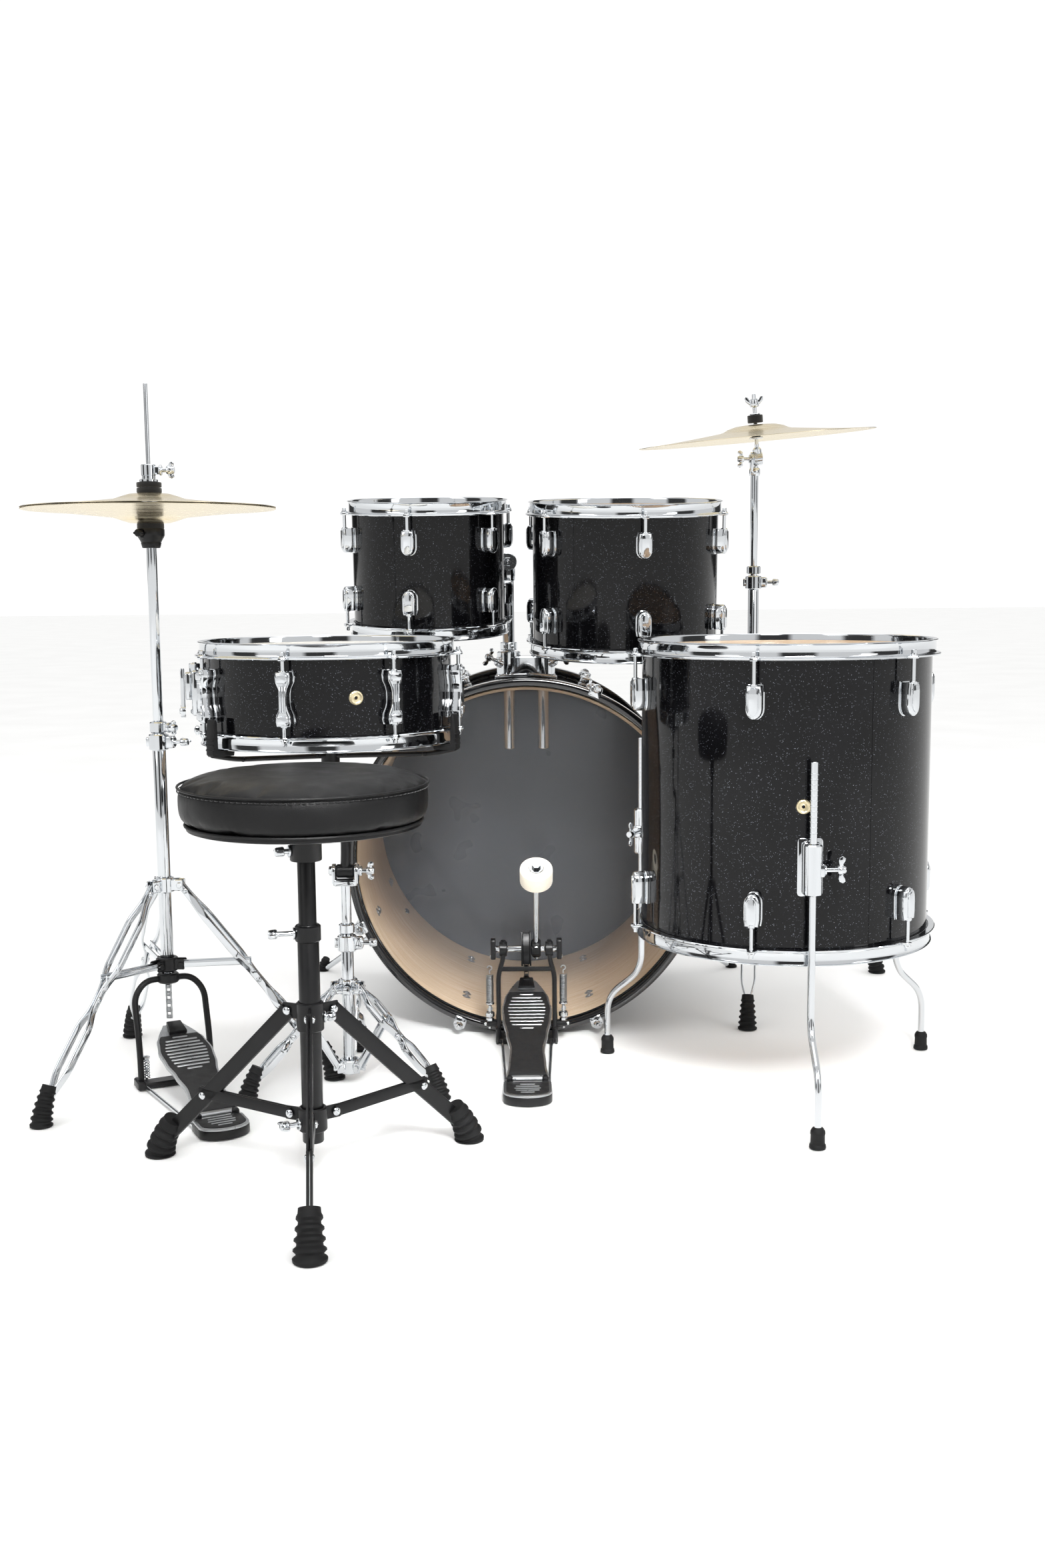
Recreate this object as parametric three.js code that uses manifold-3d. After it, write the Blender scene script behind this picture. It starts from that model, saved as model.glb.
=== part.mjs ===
// Acoustic drum kit: bass drum with pedal, two rack toms, floor tom, snare on its stand, hi-hat,
// crash cymbal and throne. Millimetres, +Z up. The drummer sits on the -Y side and looks along +Y.
// The kit is laid out about the foot of the bass drum's batter hoop, and moved at the end so that
// the origin lies on the floor under the middle of the whole kit.
import * as THREE from 'three';
import { mergeVertices } from 'three/addons/utils/BufferGeometryUtils.js';
import Module from 'manifold-3d';

const wasm = await Module();
wasm.setup();

// ---------------------------------------------------------------- driving dimensions
const GAP = 0.3; // clearance between parts that touch
const SLIDE_FIT = 0.4; // radial clearance of a tube that telescopes or turns in another

const BASS = { radius: 276.6, depth: 406, wall: 7, hoopThick: 11.2, hoopWidth: 38, recess: 21, sides: 32 };
const BASS_LUG = { count: 8, width: 24, length: 46, proud: 18, inset: 78 };
const CLAW = { width: 22, over: 7, wrap: 3 };
const SPUR = { rodRadius: 5.5, behind: 330, angle: 215, footX: 389, footY: 438, footHeight: 26, footRadius: 11 };
const MOUNT = { width: 108, length: 58, height: 44, behind: 285, tubeSpacing: 60, tubeRadius: 10 };
const TUBE_DROP = 128; // length of a tom tube below the top of the bass shell

const TOMS = [
  { name: 'tom_left', at: [-160.8, 194, 757], radius: 127, depth: 203, firstLug: -160, post: 'tom_post_left' },
  { name: 'tom_right', at: [167, 148, 737], radius: 152.4, depth: 229, firstLug: -143, post: 'tom_post_right' },
];
const TOM_TILT = 5; // degrees, towards the drummer
const TOM_LUG = { count: 6, width: 24, height: 40, proud: 22, inset: 54 };
const TOM_ARM = { radius: 6, bracketWidth: 30, bracketHeight: 44, bracketProud: 14, grip: 10, tilterRadius: 14, tilterHalf: 10 };

const FLOOR_TOM = { name: 'floor_tom', at: [369.5, -239.1, 434], radius: 203.2, depth: 406, firstLug: -170 };
const FLOOR_LUG = { count: 6, width: 24, height: 45, proud: 22, inset: 66 };
const FLOOR_LEG = { radius: 4.8, standOff: 22, top: 495, bendTop: 138, bendLow: 90, footRing: 283,
  footHeight: 28, footRadius: 11, angles: [150.4, 30.4, -89.6] };
const LEG_BRACKET = { width: 30, low: 318, high: 390 };

const SNARE = { name: 'snare', at: [-286, -198, 576.5], radius: 177.8, depth: 127, firstLug: -101 };
const SNARE_LUG = { count: 8, width: 24, height: 73, proud: 24, inset: 63.5 };
const STRAINER = { angle: 191.5, width: 34, height: 72, proud: 26, leverLength: 62, leverWidth: 12 };

const SHELL_WALL = 6;
const HOOP = { stand: 10, skirt: 12, metal: 2.5, flange: 9, earWidth: 12, earDepth: 13 };
const HEAD = { film: 0.7, collar: 1.6 };
const DRUM_SIDES = 24;
const TUBE_SIDES = 10;

const SNARE_STAND = { at: [-264, -234], tube: 9, inner: 7.4, collar: 145, hub: 25, top: 222, footRing: 159,
  brace: [65, 112], angles: [-150, -30, 90], ear: 20, footHeight: 46, footRadius: 15 };
const BASKET = { shift: [-22, 36], pivot: 316, angles: [221.5, 341.5, 101.5], armDepth: 9, armWidth: 16,
  gripHeight: 52, gripThick: 9, hubRadius: 13 };

const HIHAT_CLEAR = 70; // from the snare's shell to the hi-hat's rod
const HIHAT = { at: [SNARE.at[0] - SNARE.radius - HIHAT_CLEAR, -205.5], tube: 9.5, inner: 7.2, collar: 293, hub: 174, top: 516, footRing: 245,
  brace: [120, 181], angles: [237.4, 117.4, -2.6], ear: 24, footHeight: 52, footRadius: 16 };
const HIHAT_TOP = { rod: 3, rodTop: 1012, tubeTop: 786, seat: 815, radius: 177.8, edge: 838, bell: 24, rise: 20 };

const CRASH = { at: [402, 290], tube: 9, inner: 6.4, collar: 320, hub: 190, top: 738, footRing: 271,
  brace: [135, 200], angles: [-99, 21, 141], ear: 24, footHeight: 52, footRadius: 16 };
const CRASH_TOP = { pivot: 938, post: 110, radius: 203.2, bell: 28, rise: 24, edgeLift: 34, roll: -4.5, lean: 3 };
const CYMBAL = { thick: 1.4, hole: 6.6, sides: 28 };

const THRONE = { at: [-266.5, -615.5], tube: 13, inner: 10.8, collar: 212, hub: 82, top: 322, footRing: 231,
  brace: [165, 92], angles: [156.3, 36.3, -83.7], ear: 31, footHeight: 50, footRadius: 20 };
const SEAT = { radius: 147.5, low: 442, high: 503, crown: 8, sleeve: 42, postTop: 439 };

const PEDAL = { width: 70, waist: 26, widest: 39, toe: 14, thick: 7, hingeZ: 19, heelHeight: 16 };
const KICK = { x: -2.3, hingeY: -283, heelY: -355, toeY: -16, toeZ: 92, postGap: 43.5, shaftY: -40,
  shaftZ: 152, lean: 36, reach: 170, feltRadius: 25, feltLength: 28, camRadius: 28 };
const HIHAT_PEDAL = { turn: 26.8, hingeY: -240, heelY: -300, toeY: -18, toeZ: 84, bowHalf: 52 };

// ---------------------------------------------------------------- finishes
const finish = (color, roughness, metalness) => ({ color, roughness, metalness });
const SPARKLE = finish(0x17171b, 0.2, 0.1);
const CHROME = finish(0xd8dadd, 0.12, 1.0);
const BLACK_STEEL = finish(0x16161a, 0.45, 0.2);
const GLOSS_BLACK = finish(0x0c0c0e, 0.15, 0.0);
const CLEAR_HEAD = finish(0xd9dde0, 0.2, 0.0);
const DARK_HEAD = finish(0x3b3e43, 0.35, 0.0);
const COATED_HEAD = finish(0xf2f1ec, 0.7, 0.0);
const BRONZE = finish(0xd9c9a3, 0.3, 0.9);
const VINYL = finish(0x17171a, 0.55, 0.0);
const FELT = finish(0xe6dcc3, 0.9, 0.0);

// ---------------------------------------------------------------- solids
const rad = THREE.MathUtils.degToRad;
const vec = (x, y, z) => new THREE.Vector3(x, y, z);
const polar = (angle, r, z = 0) => vec(r * Math.cos(rad(angle)), r * Math.sin(rad(angle)), z);

/** A closed manifold solid from a three.js geometry, facing outwards. */
function solid(geometry) {
  const bare = geometry.clone();
  bare.deleteAttribute('normal');
  bare.deleteAttribute('uv');
  const merged = mergeVertices(bare, 1e-4);
  const place = merged.attributes.position;
  const faces = [];
  let volume = 0;
  for (let i = 0; i < merged.index.count; i += 3) {
    const [a, b, c] = [0, 1, 2].map((k) => merged.index.getX(i + k));
    if (a === b || b === c || a === c) continue;
    faces.push([a, b, c]);
    const [p, q, r] = [a, b, c].map((k) => new THREE.Vector3().fromBufferAttribute(place, k));
    volume += p.dot(q.cross(r));
  }
  const triVerts = Uint32Array.from(faces.flatMap(([a, b, c]) => (volume < 0 ? [a, c, b] : [a, b, c])));
  const vertProperties = Float32Array.from(place.array);
  return new wasm.Manifold(new wasm.Mesh({ numProp: 3, vertProperties, triVerts }));
}

const join = (...solids) => solids.flat().reduce((all, next) => all.add(next));

/** Geometry for a mesh from a manifold solid. */
function toGeometry(shape) {
  const { vertProperties, triVerts } = shape.getMesh();
  const geometry = new THREE.BufferGeometry();
  geometry.setAttribute('position', new THREE.BufferAttribute(vertProperties, 3));
  geometry.setIndex(new THREE.BufferAttribute(triVerts, 1));
  return geometry;
}

/** Turned solid about +Z from [radius, height] pairs that close on themselves or on the axis. */
function turned(profile, sides = DRUM_SIDES) {
  const closed = profile[0][0] === 0 ? profile : [...profile, profile[0]];
  const points = closed.map(([r, z]) => new THREE.Vector2(r, z));
  return solid(new THREE.LatheGeometry(points, sides).rotateX(Math.PI / 2));
}

const ring = (rIn, rOut, low, high, sides) =>
  turned([[rIn, low], [rOut, low], [rOut, high], [rIn, high]], sides);

/** Round bar between two points. */
function bar(from, to, radius, sides = 8, endRadius = radius) {
  const span = to.clone().sub(from);
  const geometry = new THREE.CylinderGeometry(endRadius, radius, span.length(), sides);
  const turn = new THREE.Quaternion().setFromUnitVectors(vec(0, 1, 0), span.clone().normalize());
  geometry.applyQuaternion(turn).translate(...from.clone().add(to).multiplyScalar(0.5).toArray());
  return solid(geometry);
}

/** Round bar through several points, with a small knuckle at each bend. */
function bentBar(points, radius, sides = 6) {
  const runs = points.slice(1).map((point, i) => bar(points[i], point, radius, sides));
  const bends = points.slice(1, -1).map((point) =>
    solid(new THREE.IcosahedronGeometry(radius * 1.05, 0).translate(...point.toArray())));
  return join(runs, bends);
}

/** Box between two opposite corners. */
function block(from, to) {
  const size = to.map((value, i) => Math.abs(value - from[i]));
  const middle = to.map((value, i) => (value + from[i]) / 2);
  return solid(new THREE.BoxGeometry(...size).translate(...middle));
}

/** Box in a drum's frame: radial span, tangential width and height span, at an angle. */
function outstanding(angle, rIn, rOut, width, low, high) {
  const shape = new THREE.BoxGeometry(rOut - rIn, width, high - low);
  shape.translate((rIn + rOut) / 2, 0, (low + high) / 2).rotateZ(rad(angle));
  return solid(shape);
}

/** Flat strap between two points of a vertical plane at an angle, its width across that plane. */
function strap(angle, [r1, z1], [r2, z2], width, thick, side = 0) {
  const length = Math.hypot(r2 - r1, z2 - z1);
  const shape = new THREE.BoxGeometry(length, width, thick);
  shape.rotateY(-Math.atan2(z2 - z1, r2 - r1)).translate((r1 + r2) / 2, side, (z1 + z2) / 2);
  return solid(shape.rotateZ(rad(angle)));
}

/** Cuts a standing piece off level at the floor, so that a sloping foot rests on a flat face. */
const aboveFloor = (shape) => shape.trimByPlane([0, 0, 1], 0);

const around = (count, first = 0) => Array.from({ length: count }, (_, i) => first + (360 / count) * i);

// ---------------------------------------------------------------- the kit
const kit = new THREE.Group();
const pivots = {};

/** Adds one named part to a group. */
function part(name, shape, { color, roughness, metalness }, parent = kit) {
  const material = new THREE.MeshStandardMaterial({ color, roughness, metalness });
  const mesh = new THREE.Mesh(toGeometry(shape), material);
  mesh.name = name;
  parent.add(mesh);
  return mesh;
}

function groupAt([x, y, z = 0], turnZ = 0) {
  const group = new THREE.Group();
  group.position.set(x, y, z);
  group.rotation.z = rad(turnZ);
  kit.add(group);
  return group;
}

/** Notes a joint's pivot and axis, given in a group's own frame. */
function pivot(name, group, at, axis) {
  pivots[name] = { group, at: at.clone(), axis: axis.clone().normalize() };
}

// ---------------------------------------------------------------- drums
/** Flanged metal counterhoop with an ear over each lug. */
function flangedHoop(drum, lug, up) {
  const inner = drum.radius + HEAD.collar + 2 * GAP;
  const edge = drum.depth / 2;
  const low = edge - HOOP.skirt;
  const high = edge + HOOP.stand;
  const profile = [[inner, low], [inner + HOOP.flange, low], [inner + HOOP.flange, low + HOOP.metal],
    [inner + HOOP.metal, low + HOOP.metal], [inner + HOOP.metal, high], [inner, high]];
  const ears = around(lug.count, drum.firstLug).map((angle) => outstanding(angle, inner + 1,
    inner + HOOP.flange + HOOP.earDepth, HOOP.earWidth, low, low + 2 * HOOP.metal));
  const hoop = join(turned(profile), ears);
  return up ? hoop : hoop.mirror([0, 0, 1]);
}

/** Drumhead: film over the bearing edge, and its collar down the outside of the shell. */
function drumHead(drum, up) {
  const edge = drum.depth / 2;
  const rIn = drum.radius + GAP;
  const rOut = rIn + HEAD.collar;
  const profile = [[0, edge + GAP], [rIn, edge + GAP], [rIn, edge - HOOP.skirt], [rOut, edge - HOOP.skirt],
    [rOut, edge + GAP + HEAD.film], [0, edge + GAP + HEAD.film]];
  const head = turned(profile);
  return up ? head : head.mirror([0, 0, 1]);
}

function drumShell(drum, lug, split = true) {
  const edge = drum.depth / 2;
  const heights = split ? [edge - lug.inset, lug.inset - edge] : [edge - lug.inset];
  const lugs = around(lug.count, drum.firstLug).flatMap((angle) => heights.map((z) =>
    outstanding(angle, drum.radius - SHELL_WALL / 2, drum.radius + lug.proud, lug.width,
      z - lug.height / 2, z + lug.height / 2)));
  return join(ring(drum.radius - SHELL_WALL, drum.radius, -edge, edge), lugs);
}

function hoopsAndHeads(drum, lug, group, topHead) {
  part(`${drum.name}_top_hoop`, flangedHoop(drum, lug, true), CHROME, group);
  part(`${drum.name}_bottom_hoop`, flangedHoop(drum, lug, false), CHROME, group);
  part(`${drum.name}_top_head`, drumHead(drum, true), topHead, group);
  part(`${drum.name}_bottom_head`, drumHead(drum, false), CLEAR_HEAD, group);
}

// ---------------------------------------------------------------- bass drum
const bassAxis = BASS.radius + BASS.hoopThick + 4 * GAP; // height of the drum's axis: it stands on its hoops
const mountX = [-1, 1].map((side) => (side * MOUNT.tubeSpacing) / 2 + 2);
const shellTop = bassAxis + BASS.radius;

/** Lays a solid made about +Z down along +Y on the bass drum's axis. */
const laid = (shape) => shape.rotate([-90, 0, 0]).translate([0, 0, bassAxis]);

/** The two places where a spur passes through the shell, and its outward direction. */
function spurLine(side) {
  const root = polar(SPUR.angle, BASS.radius).multiply(vec(-side, 1, 1));
  const start = vec(root.x, SPUR.behind, bassAxis + root.y);
  const foot = vec(side * SPUR.footX, SPUR.footY, 0);
  return { start, foot, along: foot.clone().sub(start).normalize() };
}

function bassShell() {
  const near = BASS.recess;
  const far = near + BASS.depth;
  const lugRows = [near + BASS_LUG.inset, far - BASS_LUG.inset];
  const lugs = around(BASS_LUG.count, 22.5).flatMap((angle) => lugRows.map((y) =>
    outstanding(angle, BASS.radius - BASS.wall / 2, BASS.radius + BASS_LUG.proud, BASS_LUG.width,
      y - BASS_LUG.length / 2, y + BASS_LUG.length / 2)));
  let shell = laid(join(ring(BASS.radius - BASS.wall, BASS.radius, near, far, BASS.sides), lugs));
  for (const side of [-1, 1]) {
    const { start, along } = spurLine(side);
    const boss = bar(start.clone().addScaledVector(along, -2), start.clone().addScaledVector(along, 34), 15, 10);
    const inside = bar(start.clone().addScaledVector(along, -60), start.clone().addScaledVector(along, -2), 15, 10);
    const bore = bar(start.clone().addScaledVector(along, -40), start.clone().addScaledVector(along, 40),
      SPUR.rodRadius + SLIDE_FIT + 0.2, 12);
    shell = shell.add(boss.subtract(inside)).subtract(bore);
  }
  for (const x of mountX) {
    shell = shell.subtract(bar(vec(x, MOUNT.behind, bassAxis), vec(x, MOUNT.behind, shellTop + 30),
      MOUNT.tubeRadius + 1, 12));
  }
  return shell;
}

/** Wooden hoop with its claws, each hooked over the hoop's outer edge and both its faces. */
function bassHoop() {
  const rIn = BASS.radius + 4 * GAP;
  const rOut = rIn + BASS.hoopThick;
  const claws = around(BASS_LUG.count, 22.5).map((angle) => outstanding(angle, rIn + 3, rOut + CLAW.over,
    CLAW.width, -CLAW.wrap, BASS.hoopWidth + CLAW.wrap));
  return join(ring(rIn, rOut, 0, BASS.hoopWidth, BASS.sides), claws);
}

function bassHead() {
  const rIn = BASS.radius + GAP;
  const rOut = rIn + 2 * GAP;
  const face = BASS.recess - GAP;
  return turned([[0, face - HEAD.film], [rOut, face - HEAD.film], [rOut, BASS.recess + 12],
    [rIn, BASS.recess + 12], [rIn, face], [0, face]], BASS.sides);
}

/** Turns a front-side piece into its mirror at the other end of the drum. */
function farEnd(shape) {
  return shape.mirror([0, 0, 1]).translate([0, 0, 2 * BASS.recess + BASS.depth]);
}

part('bass_shell', bassShell(), SPARKLE);
part('bass_batter_hoop', laid(bassHoop()), GLOSS_BLACK);
part('bass_front_hoop', laid(farEnd(bassHoop())), GLOSS_BLACK);
part('bass_batter_head', laid(bassHead()), CLEAR_HEAD);
part('bass_front_head', laid(farEnd(bassHead())), DARK_HEAD);

for (const [side, word] of [[-1, 'left'], [1, 'right']]) {
  const { start, foot, along } = spurLine(side);
  const inner = start.clone().addScaledVector(along, -14);
  const ankle = foot.clone().addScaledVector(along, -12);
  const rod = bar(inner, ankle, SPUR.rodRadius, 10);
  const tip = bar(vec(foot.x, foot.y, 0), vec(foot.x, foot.y, SPUR.footHeight), SPUR.footRadius, 10,
    SPUR.footRadius - 3);
  part(`bass_spur_${word}`, join(rod, tip), CHROME);
  pivot(`bass_spur_${word}`, kit, start, along);
}

// ---------------------------------------------------------------- tom mount
function mountBlock() {
  const z0 = bassAxis + Math.sqrt(BASS.radius ** 2 - (MOUNT.width / 2) ** 2) - 6;
  const xMid = (mountX[0] + mountX[1]) / 2;
  const y0 = MOUNT.behind - MOUNT.length / 2;
  const body = block([xMid - MOUNT.width / 2, y0, z0],
    [xMid + MOUNT.width / 2, y0 + MOUNT.length, shellTop + MOUNT.height]);
  const drum = laid(turned([[0, 0], [BASS.radius + GAP, 0], [BASS.radius + GAP, BASS.recess + BASS.depth],
    [0, BASS.recess + BASS.depth]], BASS.sides));
  const bores = mountX.map((x) => bar(vec(x, MOUNT.behind, z0 - 20),
    vec(x, MOUNT.behind, shellTop + MOUNT.height + 10), MOUNT.tubeRadius + SLIDE_FIT, 12));
  return bores.reduce((all, bore) => all.subtract(bore), body.subtract(drum));
}
part('tom_mount_block', mountBlock(), CHROME);

/** A rack tom on its own post: the arm runs from the post's tilter straight at the tom's middle. */
function rackTom(tom, index) {
  const group = groupAt(tom.at);
  group.rotation.x = rad(TOM_TILT);
  group.updateMatrixWorld(true);
  const post = vec(mountX[index], MOUNT.behind, 0);
  // the arm lies in the plane of the tom's middle, so its height at the post follows from the tilt
  const rise = (post.y - tom.at[1]) * Math.tan(rad(TOM_TILT));
  const tilter = vec(post.x, post.y, tom.at[2] + rise);
  const local = group.worldToLocal(tilter.clone());
  const angle = THREE.MathUtils.radToDeg(Math.atan2(local.y, local.x));
  const bracketOut = tom.radius + TOM_ARM.bracketProud;
  const bore = bar(polar(angle, bracketOut - TOM_ARM.grip - 2), polar(angle, bracketOut + 5),
    TOM_ARM.radius + SLIDE_FIT, 12);
  const bracket = outstanding(angle, tom.radius - SHELL_WALL / 2, bracketOut, TOM_ARM.bracketWidth,
    -TOM_ARM.bracketHeight / 2, TOM_ARM.bracketHeight / 2);
  part(`${tom.name}_shell`, drumShell(tom, TOM_LUG).add(bracket).subtract(bore), SPARKLE, group);
  hoopsAndHeads(tom, TOM_LUG, group, CLEAR_HEAD);

  const armEnd = group.localToWorld(polar(angle, bracketOut - TOM_ARM.grip));
  const tube = bar(vec(post.x, post.y, shellTop - TUBE_DROP), tilter, MOUNT.tubeRadius, 12);
  const arm = bar(tilter, armEnd, TOM_ARM.radius, 12);
  const halfWidth = vec(0, TOM_ARM.tilterHalf, 0);
  const ratchet = bar(tilter.clone().sub(halfWidth), tilter.clone().add(halfWidth), TOM_ARM.tilterRadius, 12);
  part(tom.post, join(tube, arm, ratchet), CHROME);
  pivot(`${tom.name}_tilt`, kit, tilter, tilter.clone().sub(armEnd));
}
TOMS.forEach(rackTom);

// ---------------------------------------------------------------- floor tom
function floorTom() {
  const group = groupAt(FLOOR_TOM.at);
  const base = FLOOR_TOM.at[2];
  const legRing = FLOOR_TOM.radius + FLOOR_LEG.standOff;
  let shell = drumShell(FLOOR_TOM, FLOOR_LUG);
  for (const angle of FLOOR_LEG.angles) {
    const bracket = outstanding(angle, FLOOR_TOM.radius - SHELL_WALL / 2, legRing + 12, LEG_BRACKET.width,
      LEG_BRACKET.low - base, LEG_BRACKET.high - base);
    const bore = bar(polar(angle, legRing, LEG_BRACKET.low - base - 5),
      polar(angle, legRing, LEG_BRACKET.high - base + 5), FLOOR_LEG.radius + SLIDE_FIT, 12);
    shell = shell.add(bracket).subtract(bore);
  }
  part('floor_tom_shell', shell, SPARKLE, group);
  hoopsAndHeads(FLOOR_TOM, FLOOR_LUG, group, CLEAR_HEAD);
  FLOOR_LEG.angles.forEach((angle, i) => {
    const points = [[legRing, FLOOR_LEG.top], [legRing, FLOOR_LEG.bendTop],
      [FLOOR_LEG.footRing, FLOOR_LEG.bendLow], [FLOOR_LEG.footRing, FLOOR_LEG.footHeight / 2]]
      .map(([r, z]) => polar(angle, r, z - base));
    const foot = bar(polar(angle, FLOOR_LEG.footRing, -base),
      polar(angle, FLOOR_LEG.footRing, FLOOR_LEG.footHeight - base), FLOOR_LEG.footRadius, 10,
      FLOOR_LEG.footRadius - 3);
    part(`floor_tom_leg_${i + 1}`, join(bentBar(points, FLOOR_LEG.radius, 6), foot), CHROME, group);
    pivot(`floor_tom_leg_${i + 1}`, group, points[0], vec(0, 0, 1));
  });
}
floorTom();

// ---------------------------------------------------------------- stands
/** Tripod with tube, leg collar, brace hub, legs, braces and rubber feet, about the tube's axis. */
function tripod(stand, { legWidth = 26, legThick = 6, bottom = stand.hub - 14 } = {}) {
  const { tube, inner, collar, hub, top, footRing, brace, ear, footHeight, footRadius } = stand;
  const pieces = [
    ring(inner + SLIDE_FIT, tube, bottom, top, TUBE_SIDES),
    ring(tube - 0.5, tube + 5, collar - 11, collar + 11, TUBE_SIDES),
    ring(tube - 0.5, tube + 5, hub - 11, hub + 11, TUBE_SIDES),
    ring(tube - 0.5, tube + 4, top - 22, top - 1, TUBE_SIDES),
  ];
  for (const angle of stand.angles) {
    const ankle = [footRing - 14, footHeight * 0.62];
    pieces.push(
      outstanding(angle, tube - 0.5, ear + 4, legWidth - 10, collar - 8, collar + 6),
      outstanding(angle, tube - 0.5, ear + 2, legWidth - 12, hub - 7, hub + 7),
      strap(angle, [ear, collar], ankle, legWidth, legThick),
      strap(angle, [ear - 4, hub], brace, legWidth - 12, legThick),
      bar(polar(angle, footRing), polar(angle, footRing - 8, footHeight), footRadius, 8,
        footRadius * 0.7),
    );
  }
  return aboveFloor(join(pieces));
}

/** Wing bolt of a height clamp, standing out from a tube at an angle. */
const wingBolt = (angle, tube, z, length = 26) => join(
  bar(polar(angle, tube - 1, z), polar(angle, tube + length, z), 3.5, 6),
  outstanding(angle, tube + length - 5, tube + length, 24, z - 4, z + 4),
);

// ---------------------------------------------------------------- snare drum and its stand
function snareStand() {
  const stand = groupAt(SNARE_STAND.at);
  part('snare_stand_base', join(tripod(SNARE_STAND, { legWidth: 22, bottom: SNARE_STAND.hub - 12 }),
    wingBolt(0, SNARE_STAND.tube + 4, SNARE_STAND.top - 12)), CHROME, stand);
  const tubeTop = BASKET.pivot - 20;
  const upper = bar(vec(0, 0, SNARE_STAND.collar + 20), vec(0, 0, tubeTop + 4), SNARE_STAND.inner, TUBE_SIDES);
  const fork = block([-18, -12, tubeTop], [18, 12, BASKET.pivot - 11]);
  const ears = [-1, 1].map((side) => block([side * 14, -12, tubeTop], [side * 19, 12, BASKET.pivot + 11]));
  part('snare_stand_tube', join(upper, fork, ears), CHROME, stand);
  pivot('snare_height', stand, vec(0, 0, tubeTop), vec(0, 0, 1));
  pivot('snare_tilt', stand, vec(0, 0, BASKET.pivot), vec(1, 0, 0));
}
snareStand();

function snareDrum() {
  const group = groupAt(SNARE.at);
  const strainerOut = SNARE.radius + STRAINER.proud;
  const body = outstanding(STRAINER.angle, SNARE.radius - SHELL_WALL / 2, strainerOut, STRAINER.width,
    -STRAINER.height / 2, STRAINER.height / 2);
  const butt = outstanding(STRAINER.angle - 180, SNARE.radius - SHELL_WALL / 2, SNARE.radius + 14, 34, -36, 0);
  part('snare_shell', join(drumShell(SNARE, SNARE_LUG, false), body, butt), SPARKLE, group);
  hoopsAndHeads(SNARE, SNARE_LUG, group, COATED_HEAD);

  const leverLow = -STRAINER.height / 2 + 10;
  const rIn = strainerOut + GAP;
  part('snare_throw_lever', join(
    outstanding(STRAINER.angle, rIn, rIn + 6, STRAINER.leverWidth, leverLow - 6, leverLow + STRAINER.leverLength),
    bar(polar(STRAINER.angle, rIn, leverLow), polar(STRAINER.angle, rIn + 7, leverLow), 9, 12),
  ), CHROME, group);
  pivot('snare_throw_lever', group, polar(STRAINER.angle, rIn, leverLow), polar(STRAINER.angle, 1));
}
snareDrum();

/** Three-armed basket: the arms run out under the bottom hoop and their grips stand outside it. */
function basket() {
  const group = groupAt([SNARE.at[0], SNARE.at[1]]);
  const hoopOut = SNARE.radius + HEAD.collar + 2 * GAP + HOOP.flange;
  const hoopLow = SNARE.at[2] - SNARE.depth / 2 - HOOP.stand;
  const armHigh = hoopLow - GAP;
  const armLow = armHigh - BASKET.armDepth;
  const gripIn = hoopOut + 1;
  const offset = vec(SNARE_STAND.at[0] - SNARE.at[0], SNARE_STAND.at[1] - SNARE.at[1], 0);
  const pivotPoint = offset.clone().setZ(BASKET.pivot);
  const hubTop = vec(0, 0, armLow - 2);
  const pieces = [
    bar(pivotPoint.clone().add(vec(-13, 0, 0)), pivotPoint.clone().add(vec(13, 0, 0)), 10, 12),
    bar(pivotPoint, hubTop.clone().setZ(BASKET.pivot + 60), 7, 10),
    bar(vec(0, 0, BASKET.pivot + 55), vec(0, 0, armHigh - 2), 7, 10),
    bar(vec(0, 0, armLow - 24), hubTop, BASKET.hubRadius, 12),
  ];
  for (const angle of BASKET.angles) {
    pieces.push(
      strap(angle, [4, armLow - 12], [gripIn + 2, armLow + BASKET.armDepth / 2 - 1], BASKET.armWidth - 6, 7),
      outstanding(angle, gripIn - 24, gripIn + BASKET.gripThick, BASKET.armWidth, armLow, armHigh),
      outstanding(angle, gripIn, gripIn + BASKET.gripThick, BASKET.armWidth, armLow, armLow + BASKET.gripHeight),
    );
  }
  part('snare_basket', join(pieces), BLACK_STEEL, group);
}
basket();

// ---------------------------------------------------------------- cymbals
/** Half profile of a cymbal: edge at z = 0, bow up to the bell's foot, then the bell. */
function cymbal(radius, bell, rise, sides = CYMBAL.sides) {
  const bowTop = rise * 0.55;
  const line = [[CYMBAL.hole, rise], [bell * 0.55, rise - 1.5], [bell, bowTop + 1], [radius * 0.65, bowTop * 0.5],
    [radius, 0]];
  const under = [...line].reverse().map(([r, z]) => [r, z - CYMBAL.thick]);
  return turned([...line, ...under], sides);
}

// ---------------------------------------------------------------- pedals
/** Footboard outline from its hinge to its toe, as a plate that lies along +Y. */
function footplate(length, toe) {
  const half = [[PEDAL.width / 2 - 4, 0], [PEDAL.waist, length * 0.26], [PEDAL.widest * 0.9, length * 0.5],
    [PEDAL.widest, length * 0.66], [PEDAL.widest * 0.8, length * 0.84], [toe, length]];
  const left = new THREE.SplineCurve(half.map(([x, y]) => new THREE.Vector2(-x, y))).getPoints(10);
  const right = left.map(({ x, y }) => new THREE.Vector2(-x, y)).reverse();
  const shape = new THREE.Shape([...left, ...right]);
  return solid(new THREE.ExtrudeGeometry(shape, { depth: PEDAL.thick, bevelEnabled: false }));
}

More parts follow.
